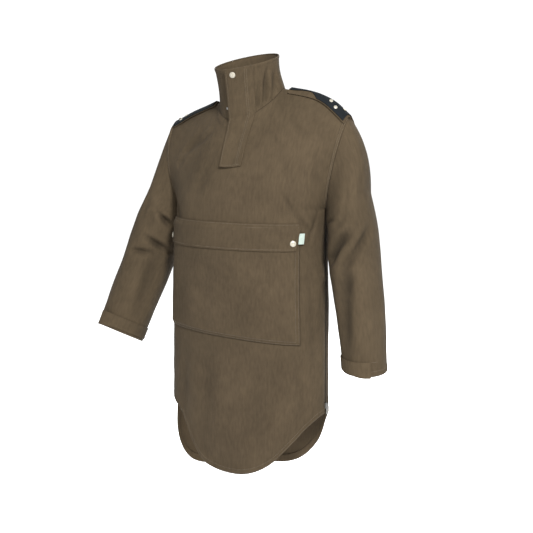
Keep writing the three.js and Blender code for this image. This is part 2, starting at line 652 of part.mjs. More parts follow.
// Shoulder strap: a stiff band over the shoulder seam with a gripping top.
[['left', 1], ['right', -1]].forEach(([word, sign]) => {
  const across = [-1, -0.66, -0.33, 0, 0.17, 0.35, 0.52, 0.7, 1];
  const bed = (a, b) => {
    const front = b < 0;
    const wide = front ? mix(STRAP.front, STRAP.frontIn, ease(a / 0.5)) : STRAP.back;
    const reach = Math.abs(b) * wide;
    const from = lookUp(COLUMNS, 'shoulder', 'at', a);
    const at = sign > 0 ? from : 180 - from;
    const seam = softPoint(at, front, 1);
    let [low, high] = [0.5, 1];
    for (let k = 0; k < 30; k += 1) {
      const v = (low + high) / 2;
      if (Math.abs(softPoint(at, front, v).y - seam.y) > reach) low = v;
      else high = v;
    }
    return softPoint(at, front, high);
  };
  const up = (a, b) => {
    const n = normalAt((i, j) => bed(i / 100, j / 100), a * 100, b * 100, 1);
    return n.z < 0 ? n.negate() : n;
  };
  const lay = (name, spots, low, thick, look) => {
    const rows = (off) => spots.map((row) => row.map(([a, b]) => (
      bed(a, b).addScaledVector(up(a, b), off))));
    add(`${name}_${word}`, facingOut(closedWall(rows(low + thick), rows(low), false)), look);
  };
  const trim = STRAP.edge / (SHOULDER[word].x - NECK.x);
  const inside = steps(STRAP[word] + trim, STRAP.in - trim, 14);
  const alongs = [STRAP[word], ...inside, STRAP.in];
  lay('shoulder_strap', alongs.map((a) => across.map((b) => [a, b])), STRAP.rise, STRAP.thick, CLOTH);
  const sides = (a) => [
    Math.max(lookUp(GRIP_FRONT, 'along', 'across', a), STRAP.edge / STRAP.front - 1),
    1 - STRAP.edge / STRAP.back];
  const over = ([low, high]) => [...steps(low, 0, 3), ...steps(0, high, 5).slice(1)];
  lay('shoulder_grip', inside.map((a) => over(sides(a)).map((b) => [a, b])),
    STRAP.rise + STRAP.thick + 1, STRAP.grip, GRIP);
  STRAP_STUDS.forEach((spot, k) => {
    const along = spot.along + STRAP[word];
    const n = up(along, spot.across);
    const p = bed(along, spot.across);
    p.addScaledVector(n, STRAP.rise + STRAP.thick + STRAP.grip + 1.35);
    stud(`strap_stud_${word}_${k + 1}`, p, n, SMALL_STUD);
  });
});

// Cuff tab: a band round the outer front of each sleeve, square at its end.
sleeves.forEach((one) => {
  const spot = CUFF_TAB[one.name];
  const rows = [spot.low, mix(spot.low, spot.high, 0.5), spot.high];
  laid(one.name.replace('sleeve', 'cuff_tab'), rows.map((share, k) => steps(spot.from, spot.to, 14)
    .map((turn) => sleevePoint(one.table, one.lean, one.sign, turn, share))), one.sign,
  () => 0.9, CUFF_TAB.thick, CLOTH);
});

// Zip in the left side seam, its slider and its hanging pull.
const sideRows = steps(SIDE_ZIP.top, SIDE_ZIP.foot, 12);
laid('side_zip_tape', sideRows.map((z) => [-5, -2.5, 0, 2.5, 5].map((at) => ringPoint(at, z))), 1,
  () => -WALL - 1.3 - SIDE_ZIP.thick, SIDE_ZIP.thick, TAPE);

// A slider with two cheeks, and the pull that hangs between them.
function prism(name, outline, from, to, look) {
  const shape = new THREE.Shape(outline.map(([a, b]) => new THREE.Vector2(a, b)));
  const cut = new THREE.ExtrudeGeometry(shape, { depth: to - from, bevelEnabled: false });
  cut.translate(0, 0, from);
  const flat = cut.getAttribute('position');
  cut.setIndex(Array.from({ length: flat.count }, (_, k) => k));
  return add(name, facingOut(weld(cut)), look);
}
{
  const { x, cheek, floor, tall, wide, z } = SIDE_SLIDER;
  const inner = wide - cheek;
  prism('side_zip_slider', [
    [x, -wide], [x + tall, -wide], [x + tall, -inner], [x + floor, -inner],
    [x + floor, inner], [x + tall, inner], [x + tall, wide], [x, wide],
  ], z.low, z.high, METAL);
  const pull = SIDE_PULL;
  const turn = steps(0, 180, 6).map((deg) => [
    pull.x + pull.half * Math.cos(rad(deg)), pull.z + pull.half * Math.sin(rad(deg))]);
  const tip = steps(180, 360, 6).map((deg) => [
    pull.x + pull.half * Math.cos(rad(deg)), pull.z - pull.long + pull.half * Math.sin(rad(deg))]);
  const mesh = prism('side_zip_pull', [...turn, ...tip], -pull.wide, pull.wide, METAL);
  mesh.geometry.rotateX(Math.PI / 2);
}

// Strip turned up inside the hem of the back, along the panel's own columns.
const [hemRow, nextRow] = bodyRows(backAt, false, BACK_HEM);
laid('back_hem_facing', FACING.shares.map((share) => hemRow.slice(1, -1).map((p, c) => (
  p.clone().lerp(nextRow[c + 1], share)))), 1, () => -WALL - 0.6 - FACING.thick, FACING.thick, CLOTH);

export default whole;
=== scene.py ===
# %% [markdown]
# # A waterproof smock
# The object is a pullover smock of proofed, brushed cloth, hanging as it does
# when worn, with nobody in it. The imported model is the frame: it holds every
# cut piece as a stiff wall. Here each of those walls gets a thin cloth shell on
# the same form, with the folds, seams, stitches and finishes a wall leaves out.
# %% Load the frame
import math

import bpy
import numpy as np
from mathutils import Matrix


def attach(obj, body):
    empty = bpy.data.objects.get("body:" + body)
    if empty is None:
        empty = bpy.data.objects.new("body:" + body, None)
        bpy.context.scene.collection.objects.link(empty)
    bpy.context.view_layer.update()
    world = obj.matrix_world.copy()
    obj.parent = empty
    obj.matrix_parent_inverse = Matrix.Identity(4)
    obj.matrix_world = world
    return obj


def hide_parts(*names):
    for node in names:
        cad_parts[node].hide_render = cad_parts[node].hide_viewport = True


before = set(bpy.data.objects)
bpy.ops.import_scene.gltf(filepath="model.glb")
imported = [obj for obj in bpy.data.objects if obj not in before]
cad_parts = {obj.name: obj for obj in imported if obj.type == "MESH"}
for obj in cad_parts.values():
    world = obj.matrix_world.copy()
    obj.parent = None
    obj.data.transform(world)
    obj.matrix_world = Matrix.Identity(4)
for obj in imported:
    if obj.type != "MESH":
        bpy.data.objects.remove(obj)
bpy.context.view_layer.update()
MM = 0.001
print("nodes in the frame:", len(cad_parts))


def placed(name, data):
    """A new object of the scene that shows a mesh, a lamp or a camera."""
    thing = bpy.data.objects.new(name, data)
    bpy.context.scene.collection.objects.link(thing)
    return thing



# %% [markdown]
# ## The camera
# The photograph was taken from the wearer's left of the front and a little
# above the middle of the garment. The camera could be placed by eye, but here
# its azimuth, elevation and distance were fitted to the outline, so a point of
# the garment falls on the pixel where the photograph has it.
# %% Camera
AZIMUTH, ELEVATION, DISTANCE = math.radians(30), math.radians(8), 3.0
AIM = np.array([0.038, 0.022, -0.445])
lens = bpy.data.cameras.new("camera")
lens.sensor_width, lens.lens = 36, 80.04
camera = placed("camera", lens)
camera.location = AIM + DISTANCE * np.array([
    math.sin(AZIMUTH) * math.cos(ELEVATION),
    -math.cos(AZIMUTH) * math.cos(ELEVATION),
    math.sin(ELEVATION)])
camera.rotation_euler = (math.pi / 2 - ELEVATION, 0, AZIMUTH)
bpy.context.scene.camera = camera
print("camera at", [round(k, 3) for k in camera.location])

# %% [markdown]
# ## Short tools for shapes
# Every piece is a surface: a formula of two parameters, worked out for a whole
# grid at once. A maker's table gives a few measured places, and a smooth curve
# runs through them, so the garment has no corners between two measurements.
# %% Tables, curves and vectors
def table(names, rows):
    """Named columns of a short table; the first one is what it is read by."""
    return dict(zip(names.split(), np.array(rows, float).T))


def look(rows, name, at):
    """Cubic curve through a column: each slope is that of its neighbours' chord."""
    x, v = rows[next(iter(rows))], rows[name]
    if x[0] > x[-1]:
        x, v = x[::-1], v[::-1]
    slope = np.empty_like(v)
    slope[1:-1] = (v[2:] - v[:-2]) / (x[2:] - x[:-2])
    slope[0], slope[-1] = (v[1] - v[0]) / (x[1] - x[0]), (v[-1] - v[-2]) / (x[-1] - x[-2])
    at = np.asarray(at, float)
    i = np.clip(np.searchsorted(x, at, side="right") - 1, 0, len(x) - 2)
    span = x[i + 1] - x[i]
    s = np.clip((at - x[i]) / span, 0, 1)
    turn = ease(s)
    tangents = s * (1 - s) ** 2 * slope[i] + s * s * (s - 1) * slope[i + 1]
    return v[i] * (1 - turn) + v[i + 1] * turn + tangents * span


def floats(*values):
    """Numbers or arrays of matching shapes as float arrays of one shape."""
    return np.broadcast_arrays(*(np.asarray(value, float) for value in values))


def vec(x, y, z):
    """Points from three coordinates of any matching shapes."""
    return np.stack(floats(x, y, z), -1)


def unit(v):
    """Each vector divided by its length."""
    return v / np.maximum(np.linalg.norm(v, axis=-1, keepdims=True), 1e-9)


def mix(a, b, s):
    """The straight way from a to b."""
    return a + (b - a) * s


def ease(s):
    """0 before 0, 1 after 1, and a smooth turn 3s^2 - 2s^3 between."""
    s = np.clip(s, 0, 1)
    return s * s * (3 - 2 * s)


def joined(*stretches):
    """Values of several (start, end, count) stretches, a shared end only once."""
    parts = [np.linspace(*stretch) for stretch in stretches]
    return np.concatenate([part[:-1] for part in parts[:-1]] + parts[-1:])


def turned_to(away, reach):
    """Each normal, turned to the side that its reach points to."""
    return away * np.sign((reach * away).sum(-1, keepdims=True))


def cosine(deg):
    """Cosine of an angle in degrees."""
    return np.cos(np.radians(deg))


def sine(deg):
    """Sine of an angle in degrees."""
    return np.sin(np.radians(deg))


# %% [markdown]
# ## The form of the body
# A smock's body is a tube with flattened front and back. Below the armholes it
# is a stack of rings, each a rounded oval from the table. Above them a curved
# column rises from the ring to the shoulder seam or the neck seam, and leans
# over as cloth does on a shoulder. The hem is a height for every angle.
# %% Measured places of the body
LEVELS = table("z half front back mid", [
    (-290, 209, 139, 88, 24), (-380, 208, 133, 90, 16), (-480, 215, 122, 92, 8),
    (-620, 218, 110, 97, 2), (-780, 219, 104, 102, 0), (-1000, 219, 102, 104, 0)])
HEMS = {
    1: table("at z", [
        (0, -796), (14, -804), (28, -826), (40, -857), (50, -887), (60, -919), (70, -941),
        (80, -954), (90, -957), (100, -951), (110, -936), (118, -902), (126, -858),
        (136, -822), (150, -804), (165, -797), (180, -797)]),
    -1: table("at z", [
        (0, -796), (14, -800), (30, -830), (42, -884), (52, -917), (64, -951), (76, -972),
        (90, -983), (106, -990), (126, -1004), (140, -1010), (152, -999), (162, -966),
        (170, -916), (176, -857), (180, -797)])}
COLUMNS = table("at shoulder", [
    (0, 0), (8, .03), (16, .09), (24, .18), (32, .3), (40, .45), (47, .62), (54, .81), (60, 1)])
LIFTS = {
    1: table("at over up", [
        (0, 150, 96), (40, 150, 84), (60, 135, 72), (75, 92, 140), (90, 50, 185)]),
    -1: table("at over up", [
        (0, 150, 74), (40, 150, 76), (60, 140, 80), (75, 100, 130), (90, 80, 150)])}
FALLS = {
    1: table("way drop", [
        (0, 0), (.17, .06), (.4, .15), (.58, .27), (.78, .5), (.94, .83), (1, 1)]),
    -1: table("way drop", [(0, 0), (.3, .3), (.6, .57), (.85, .85), (1, 1)])}
LEFT, UP = (1, 0, 0), (0, 0, 1)
CHEST, CHEST_HALF, CHEST_MID = -290, 209, 24
MIDDLE_Y = 10
NECK_MID, NECK_HALF = 7, 86
SHOULDER_TIPS = {1: (259, 36, -74), -1: (-244, 38, -89)}


# %% Rings, seams and columns
def ring(at, z):
    """Rounded oval: half width times cos to the power 1/1.1, depth times sin
    to the same power, and a bell-shaped flare at the right end of the tail."""
    c, s, power = cosine(at), sine(at), 1 / 1.1
    depth = np.where(s >= 0, look(LEVELS, "front", z), look(LEVELS, "back", z))
    x = look(LEVELS, "half", z) * np.sign(c) * np.abs(c) ** power
    y = look(LEVELS, "mid", z) - depth * np.sign(s) * np.abs(s) ** power
    away = ((at + 360) % 360 - 202) / 42
    flare = np.where(s < 0, 29 * ease((-750 - z) / 210) * np.exp(-away * away), 0)
    return vec(x + flare * c, y - flare * s, z)


def neck(angle, side, front):
    """Neck seam: a circle's quarter on each side, dropping towards the front
    with the sine of the angle and rolled a little down to the right."""
    s = np.abs(sine(angle))
    x = NECK_MID + side * NECK_HALF * cosine(angle)
    y = MIDDLE_Y + np.where(front, -74, 54) * s
    z = np.where(front, -60 * s ** 1.15, 10 * s * s)
    return vec(x, y, z - 28 * (93 - x) / 172)


def shoulder_tip(side):
    """x, y and z of the shoulder seam's outer end on each side."""
    left = np.asarray(side) > 0
    return [np.where(left, *pair) for pair in zip(SHOULDER_TIPS[1], SHOULDER_TIPS[-1])]


def shoulder(share, side):
    """Shoulder seam: straight from armhole (0) to neck (1) as seen from above,
    falling by the table of drops."""
    fall = np.where(np.asarray(side) > 0, *(look(FALLS[k], "drop", 1 - share) for k in (1, -1)))
    x, y, z = shoulder_tip(side)
    return vec(mix(x, NECK_MID + side * NECK_HALF, share), mix(y, MIDDLE_Y, share),
               mix(neck(0, side, True)[..., 2], z, fall))


def armhole(turn, side):
    """Armhole loop: up and down with the cosine of the turn, out to front and
    back with its sine. 0 is the underarm and 180 the shoulder."""
    s, up = sine(turn), (1 - cosine(turn)) / 2
    bulge, reach = np.where(s >= 0, 8, 12), np.where(s >= 0, 44, 60)
    x, y, z = shoulder_tip(side)
    return vec(side * (mix(CHEST_HALF, np.abs(x), up) + bulge * np.abs(s)),
               mix(CHEST_MID, y, up) - reach * s, mix(CHEST, z, up))


def column(face, at, v):
    """Columns above the chest: cubic curves from the ring to the seam above,
    bent near the armhole so that the last one is the armhole's edge."""
    side, along = np.where(at <= 90, 1, -1), np.where(at <= 90, at, 180 - at)
    on_shoulder = shoulder(look(COLUMNS, "shoulder", along), side)
    on_neck = neck((along - 60) * 3, side, face > 0)
    top = np.where((along <= 60)[..., None], on_shoulder, on_neck)
    rise = vec(0, 0, 240)
    lean = vec(0, face * look(LIFTS[face], "over", along), look(LIFTS[face], "up", along))
    v = np.asarray(v, float)[..., None]
    turn = ease(v)
    pull = rise * v * (1 - v) ** 2 + lean * v * v * (v - 1)
    point = ring(face * at, CHEST) * (1 - turn) + top * turn + pull
    edge = ring(np.where(side > 0, 0, 180), CHEST) * (1 - turn)
    edge = edge + shoulder(0, side) * turn + pull
    loop = armhole(np.where(face > 0, 180 * v[..., 0], 360 - 180 * v[..., 0]), side)
    return point + (loop - edge) * (np.maximum(0, 1 - along / 54) ** 2)[..., None]


def upper(face, at, v):
    """The same columns evened out with those beside them: the mean of five,
    weighted 1, 2, 2, 2, 1, over a reach that is nothing at every seam."""
    at, v = floats(at, v)
    reach = 14 * ease(v / .3) * ease((1 - v) / .22) * ease(np.minimum(at, 180 - at) / 20)
    return sum(part * column(face, at + step * reach, v)
               for step, part in ((-1, 1), (-.5, 2), (0, 2), (.5, 2), (1, 1))) / 8


def body(face, at, t):
    """The whole panel: t from 0 at the hem to 1 at the chest, and to 2 at the
    top. face is 1 for the front and -1 for the back."""
    at, t = floats(at, t)
    low = ring(face * at, mix(look(HEMS[face], "z", at), CHEST, np.clip(t, 0, 1)))
    return np.where((t < 1)[..., None], low, upper(face, at, np.clip(t - 1, 0, 1)))


def length(line):
    """Length of a line of points."""
    return float(np.linalg.norm(np.diff(line, axis=0), axis=1).sum())


print("half round the chest, mm:", round(length(body(1, np.linspace(0, 180, 400), 1.0))))

# %% [markdown]
# ## The form of the collar and sleeves
# The collar is a stand between the neck seam and a tilted rim. A sleeve is a
# row of ovals along a bent middle line, and its head takes the armhole's own
# loop, so that the two edges meet stitch for stitch.
# %% Collar and sleeve formulas
SLEEVES = {
    1: table("share x y z out fore", [
        (0, 240, 33, -177, 54, 84), (.22, 273, 28, -296, 57.5, 86), (.45, 290, 12, -412, 62, 78),
        (.7, 318, -10, -532, 58, 71), (1, 349, -48, -661, 51, 65)]),
    -1: table("share x y z out fore", [
        (0, 234, 33, -180, 54, 84), (.22, 268, 32, -294, 55, 80), (.45, 302, 14, -408, 63, 75),
        (.7, 334, -18, -520, 62, 70), (1, 364, -60, -640, 60, 65)])}
SIDES = ((1, "left"), (-1, "right"))
LEANS = {1: (-.3, .34), -1: (0, -.06)}
PUFFS = {1: 16, -1: 5}


def collar(angle, side, front, w):
    """Straight from the neck seam to the rim, drawn in at half height."""
    low = neck(angle, side, front)
    s = np.abs(sine(angle)) * np.where(front, -1, 1)
    rim = vec(-1 + side * 79 * cosine(angle), -8 + 81 * s, 74 + 20 * s)
    rim[..., 2] -= 14 * (78 - rim[..., 0]) / 158
    w = np.asarray(w, float)
    point = low + (rim - low) * w[..., None]
    waist = 4 * np.sin(np.pi * w)
    point[..., 0] -= side * waist * cosine(angle)
    point[..., 1] -= waist * s * np.where(front, .3, 1)
    return point


def sleeve(side, turn, share):
    """Ovals across a bent middle line; over the first third the armhole's loop
    eases into them, and the head stands out a little."""
    rows, (lean_x, lean_y) = SLEEVES[side], LEANS[side]
    turn, share = floats(turn, share)

    def middle(at):
        return vec(side * look(rows, "x", at), look(rows, "y", at), look(rows, "z", at))

    axis = unit(middle(np.minimum(1, share + .02)) - middle(np.maximum(0, share - .02)))
    late = ease((share - .6) / .4)[..., None]
    axis = unit(axis + vec(side * lean_x, lean_y, 0) * late)
    ahead = vec(side * sine(10), -cosine(10), 0) + 0 * axis
    ahead = unit(ahead - axis * (ahead * axis).sum(-1, keepdims=True))
    out = unit(np.cross(ahead, axis))
    out = out * np.where(out[..., :1] * side < 0, -1, 1)
    c, s = cosine(turn)[..., None], sine(turn)[..., None]
    ovals = (middle(share) - out * look(rows, "out", share)[..., None] * c
             + ahead * look(rows, "fore", share)[..., None] * s)
    start = armhole(turn, side) + middle(share) - middle(0)
    start[..., 0] -= .8 * (middle(share) - middle(0))[..., 0] * ((1 + cosine(turn)) / 2) ** 2
    point = mix(start, ovals, ease(share / .34)[..., None])
    puff = PUFFS[side] * ((1 - cosine(turn)) / 2) ** 2
    point[..., 0] += side * puff * np.sin(np.pi * np.minimum(1, share / .2))
    return point


for side, word in SIDES:
    wrist = sleeve(side, np.linspace(0, 360, 73), 1.0)
    print(word, "cuff round, mm:", round(length(wrist)))

# %% [markdown]
# ## Folds
# Stiff proofed cloth makes few, broad folds. A simulation would give folds in
# places of its own, so they are set where the photograph shows them: each is
# a trough along a line, with a low ridge on both sides of it, as cloth that
# is pushed in comes out again beside it.
# %% Troughs, ridges and slow waves
FOLD_COLUMNS = "a b a2 b2 wide deep"
ROUND_MM = 3.4  # run of the body for a degree
ARM_ROUND_MM, ARM_LONG_MM = 1.2, 500  # of a sleeve for a degree, and its length
COLLAR_ROUND_MM, COLLAR_TALL_MM = 1.5, 95
BODY_DEPTH = 1.35  # the body's folds against their table
FRONT_FOLDS = table(FOLD_COLUMNS, [
    # from the neck over the right side of the chest
    (112, -105, 134, -150, 12, 3.6), (120, -88, 146, -190, 12, 2.6),
    (104, -170, 116, -270, 20, 1.8), (150, -175, 128, -160, 7, -1.6),
    # from the neck over the left side of the chest
    (66, -92, 44, -215, 18, 2.2), (60, -60, 34, -120, 12, 2.0), (36, -100, 22, -92, 6, -1.8),
    (30, -120, 18, -260, 14, 2.0),
    # below both armholes and above the pocket's corners
    (50, -250, 38, -300, 10, 3.2), (38, -300, 22, -345, 8, 4.6), (14, -300, 24, -372, 10, 2.4),
    (158, -262, 140, -318, 12, 3.4), (166, -300, 152, -360, 12, 2.4),
    # long soft ones down the skirt
    (24, -420, 18, -700, 20, 2.0), (40, -640, 34, -820, 22, 2.4), (74, -660, 70, -900, 26, 2.2),
    (104, -640, 108, -905, 26, 2.4), (128, -650, 132, -830, 22, 2.6),
    (150, -420, 158, -740, 22, 2.2)])
BACK_FOLDS = table(FOLD_COLUMNS, [
    (20, -250, 46, -330, 14, 3.6), (160, -250, 134, -336, 14, 3.8), (30, -150, 20, -290, 16, 2.8),
    (150, -150, 160, -290, 16, 2.8), (70, -60, 58, -240, 22, 2.4), (108, -60, 122, -250, 22, 2.6),
    (64, -430, 60, -800, 26, 3.2), (88, -380, 92, -700, 30, 2.4), (116, -440, 122, -860, 26, 3.4),
    (36, -480, 30, -760, 22, 2.6), (146, -520, 150, -880, 22, 3.4),
    (78, -300, 104, -330, 24, 2.2)])
# The sleeves' a is the turn round the arm and b the share down it.
SLEEVE_FOLDS = {
    1: table(FOLD_COLUMNS, [
        # two deep bends inside the elbow and the smaller one below them
        (44, .43, 104, .325, 16, 16.0), (30, .46, 66, .42, 14, 14.0),
        (154, .3, 112, .43, 12, 10.0),
        (118, .42, 78, .505, 14, 9.0), (64, .3, 96, .24, 14, 4.0),
        # a long soft hollow down the inside of the forearm
        (94, .49, 80, .64, 26, 12.0), (76, .58, 58, .9, 28, 10.0), (150, .6, 146, .86, 20, 2.4),
        (20, .16, 70, .24, 12, 3.0), (112, .1, 98, .26, 14, 2.2), (138, .12, 128, .24, 12, -1.6),
        # the back of the arm
        (300, .3, 230, .36, 13, 5.0), (310, .42, 240, .46, 13, 4.2), (290, .56, 270, .8, 20, 2.8),
        (200, .1, 214, .34, 20, 2.0)]),
    -1: table(FOLD_COLUMNS, [
        (54, .25, 14, .325, 11, 13.0), (66, .415, 4, .45, 10, 13.0), (94, .515, 44, .487, 9, 11.0),
        (74, .26, 62, .36, 16, 6.0), (34, .46, 22, .86, 24, 9.0), (104, .2, 88, .34, 14, 4.0),
        (130, .5, 120, .76, 20, 2.4), (74, .56, 96, .6, 9, 2.0),
        (300, .32, 236, .38, 13, 4.6), (312, .46, 246, .5, 13, 3.8), (280, .58, 262, .82, 20, 2.6),
        (190, .12, 204, .36, 20, 1.8)])}
COLLAR_FOLDS = table(FOLD_COLUMNS, [
    (44, .0, 24, .74, 7, 8.0), (34, .0, 16, .66, 6, -3.0), (58, .04, 42, .5, 8, 5.0),
    (20, .1, 6, .6, 9, 4.0)])


def folds(rows, a, b, a_mm, b_mm):
    """Sum over the lines of -deep (1 - 0.6 q) exp(-q / 1.3), where q is the
    squared distance from the line over wide squared, fading towards its ends."""
    total = np.zeros(np.broadcast(a, b).shape)
    for a0, b0, a1, b1, wide, deep in zip(*rows.values()):
        across, along = (a1 - a0) * a_mm, (b1 - b0) * b_mm
        u, v = (a - a0) * a_mm, (b - b0) * b_mm
        s = np.clip((u * across + v * along) / (across ** 2 + along ** 2), 0, 1)
        q = ((u - s * across) ** 2 + (v - s * along) ** 2) / wide ** 2
        total -= deep * (.3 + .7 * np.sin(np.pi * s)) * (1 - .6 * q) * np.exp(-q / 1.3)
    return total


def waves(u, v, seed, tall=.45):
    """A few crossing sine waves, 50 to 170 mm long: cloth is never quite even."""
    rng = np.random.default_rng(seed)
    total = 0
    for long in (170, 120, 85, 62, 50):
        turn, start = rng.uniform(0, np.pi), rng.uniform(0, 2 * np.pi)
        total = total + long / 170 * np.sin(
            2 * np.pi * (u * np.cos(turn) + v * np.sin(turn)) / long + start)
    return tall * total


def body_relief(face, at, t, z):
    """Folds and waves of a body panel, in mm, nothing at its seams."""
    seams = ease(np.minimum(at, 180 - at) / 9) * ease((2 - t) / .12)
    rows, seed = (FRONT_FOLDS, 3) if face > 0 else (BACK_FOLDS, 8)
    return seams * (BODY_DEPTH * folds(rows, at, z, ROUND_MM, 1) + waves(at * ROUND_MM, z, seed))


def body_hem(up):
    """Extra height of the turned hem, up being the way above the hem."""
    return .7 * ease((15 - up) / 2.5)


def sleeve_relief(side, turn, share):
    """Folds and waves of a sleeve: nothing at the armhole."""
    relief = sum(folds(SLEEVE_FOLDS[side], a, share, ARM_ROUND_MM, ARM_LONG_MM)
                 for a in (turn, turn - 360))
    return ease(share / .07) * (
        relief + waves(turn * ARM_ROUND_MM, share * ARM_LONG_MM, 20 + side, .3))


def sleeve_hem(share):
    """Extra height of a sleeve's turned hem."""
    return .6 * ease((share - .968) / .004)


# %% [markdown]
# ## From grid to mesh
# A grid of points becomes a mesh of four-sided faces, with a UV map in metres of
# cloth, so that the weave keeps its size on every piece. A wall is made with
# Solidify towards the inside, because then the outer face stays on the form.
# %% Grids and meshes
def normals(grid, round_about=False):
    """Cross product of the steps along and across the grid, of unit length."""
    if round_about:
        across = np.roll(grid, -1, 1) - np.roll(grid, 1, 1)
    else:
        across = np.gradient(grid, axis=1)
    return unit(np.cross(across, np.gradient(grid, axis=0)))


def cloth_uv(grid):
    """Mean run of the cloth along each row and column, in metres."""
    u = np.linalg.norm(np.diff(grid, axis=1), axis=-1).mean(0)
    v = np.linalg.norm(np.diff(grid, axis=0), axis=-1).mean(1)
    u, v = np.append(0, np.cumsum(u)) * MM, np.append(0, np.cumsum(v)) * MM
    return np.stack(np.meshgrid(u, v), -1)


def new_mesh(name, points, faces, uv=None, fold=None, smooth=True):
    """Mesh object from points in mm and faces, with one UV for each point and,
    where it is given, each point's height over the unfolded form, in mm."""
    mesh = bpy.data.meshes.new(name)
    corners = faces if isinstance(faces, list) else faces.tolist()
    mesh.from_pydata((points * MM).tolist(), [], corners)
    if uv is not None:
        layer = mesh.uv_layers.new(name="cloth")
        layer.data.foreach_set("uv", uv[faces.ravel()].ravel().astype(np.float32))
    if fold is not None:
        mesh.attributes.new("fold", "FLOAT", "POINT").data.foreach_set(
            "value", fold.ravel().astype(np.float32))
    if smooth:
        mesh.shade_smooth()
    return placed(name, mesh)


def grid_faces(rows, columns, round_about=False, keep=None):
    """Four-sided faces of a grid; keep marks the cells that stay."""
    r, c = np.meshgrid(np.arange(rows - 1), np.arange(columns if round_about else columns - 1),
                       indexing="ij")
    d = (c + 1) % columns
    quads = np.stack([r * columns + c, r * columns + d,
                      (r + 1) * columns + d, (r + 1) * columns + c], -1)
    return quads[keep] if keep is not None else quads.reshape(-1, 4)


def shell(name, grid, wall, outward=1, round_about=False, keep=None, edge=0, fold=0):
    """A wall of cloth on a grid of its outer points; outward is -1 where the
    grid's own normals look inwards, and edge rounds its rim."""
    fold = np.zeros(grid.shape[:2]) + fold
    if round_about:
        grid, fold = (np.concatenate([k, k[:, :1]], 1) for k in (grid, fold))
    faces = grid_faces(*grid.shape[:2], keep=keep)[:, ::outward]
    thing = new_mesh(name, grid.reshape(-1, 3), faces, cloth_uv(grid).reshape(-1, 2), fold)
    if round_about:
        weld = thing.modifiers.new("closing seam", "WELD")
        weld.merge_threshold = 0.00002
    solid = thing.modifiers.new("wall", "SOLIDIFY")
    solid.thickness, solid.offset = wall * MM, -1
    if edge:
        bevel = thing.modifiers.new("rim", "BEVEL")
        bevel.width, bevel.segments, bevel.limit_method = edge * MM, 2, "ANGLE"
        bevel.angle_limit = math.radians(50)
    return thing


# %% [markdown]
# ## Finishes
# The cloth is a tightly woven cotton with a brushed, proofed face: matt, olive
# brown, and mottled in faint upright streaks. An even colour would look like
# plastic, so noise varies it at two sizes, and painted shade darkens the
# hollows of the folds. Two crossed waves give the weave its relief. The strap
# tops are dimpled rubber, the tapes woven navy.
# %% Material tools
def material(name, colour, rough, **sockets):
    """Principled material with its plain values set on the shader's sockets."""
    made = bpy.data.materials.new(name)
    made.use_nodes = True
    shader = made.node_tree.nodes["Principled BSDF"]
    shader.inputs["Base Color"].default_value = (*colour, 1)
    shader.inputs["Roughness"].default_value = rough
    for socket, value in sockets.items():
        shader.inputs[socket.replace("_", " ")].default_value = value
    return made, made.node_tree, shader


def node(tree, kind, **inputs):
    """A new node with some of its inputs set to numbers or linked."""
    made = tree.nodes.new("ShaderNode" + kind)
    for name, value in inputs.items():
        name = name.replace("_", " ")
        if isinstance(value, bpy.types.NodeSocket):
            tree.links.new(value, made.inputs[name])
        else:
            made.inputs[name].default_value = value
    return made


def spread(tree, place, scale, stretch, detail=3.0):
    """Noise from 0 to 1 at a scale, longer along one direction of the cloth."""
    turned = node(tree, "Mapping", Vector=place, Scale=stretch)
    return node(tree, "TexNoise", Vector=turned.outputs[0], Scale=scale, Detail=detail,
                Roughness=.6).outputs["Fac"]


def blend_colours(tree, factor, low, high):
    """Colour that goes from low to high, itself a colour or a socket."""
    ramp = tree.nodes.new("ShaderNodeMix")
    ramp.data_type = "RGBA"
    tree.links.new(factor, ramp.inputs[0])
    ramp.inputs[6].default_value = (*low, 1)
    if isinstance(high, bpy.types.NodeSocket):
        tree.links.new(high, ramp.inputs[7])
    else:
        ramp.inputs[7].default_value = (*high, 1)
    return ramp.outputs[2]


def weave_height(tree, place, pitch):
    """Sum of two crossed wave patterns with a period of pitch metres."""
    both = tree.nodes.new("ShaderNodeMath")
    for direction, socket in zip("XY", both.inputs):
        wave = node(tree, "TexWave", Vector=place, Scale=.314 / pitch, Distortion=.6,
                    Detail_Scale=2.0)
        wave.bands_direction = direction
        tree.links.new(wave.outputs["Fac"], socket)
    return both.outputs[0]


# %% Cloth
EVEN, HOLLOW_SHADE = (1.0, 1.0, 1.0), .4


def cloth_material(name, dark, light):
    """Brushed proofed cloth: streaks, blotches, painted shade in the fold hollows and a fine
    weave.
    """
    made, tree, shader = material(name, dark, .92, Specular_IOR_Level=.1)
    place = node(tree, "UVMap")
    place.uv_map = "cloth"
    place = place.outputs[0]
    streaks = spread(tree, place, 46.0, (3.6, 1.0, 1.0), 6.0)
    blotches = spread(tree, place, 8.0, EVEN, 4.0)
    total = node(tree, "Math", Value=streaks)
    tree.links.new(blotches, total.inputs[1])
    mottle = node(tree, "MapRange", Value=total.outputs[0], From_Min=.66, From_Max=1.34)
    colour = blend_colours(tree, mottle.outputs[0], dark, light)
    # Painted shade: the deeper a point lies in a fold, the nearer its colour comes to HOLLOW_SHADE
    # times the dark colour.
    height = tree.nodes.new("ShaderNodeAttribute")
    height.attribute_name = "fold"
    painted_hollow_shade = node(tree, "MapRange", Value=height.outputs["Fac"],
                From_Min=-15, From_Max=-.6, To_Min=.3)
    hollow = [HOLLOW_SHADE * k for k in dark]
    tree.links.new(blend_colours(tree, painted_hollow_shade.outputs[0], hollow, colour),
                   shader.inputs["Base Color"])
    weave = weave_height(tree, place, .0011)
    first = node(tree, "Bump", Strength=.28, Distance=.0006, Height=weave)
    fuzz = spread(tree, place, 420.0, EVEN, 2.0)
    second = node(tree, "Bump", Strength=.22, Distance=.0008, Height=fuzz, Normal=first.outputs[0])
    tree.links.new(second.outputs[0], shader.inputs["Normal"])
    return made


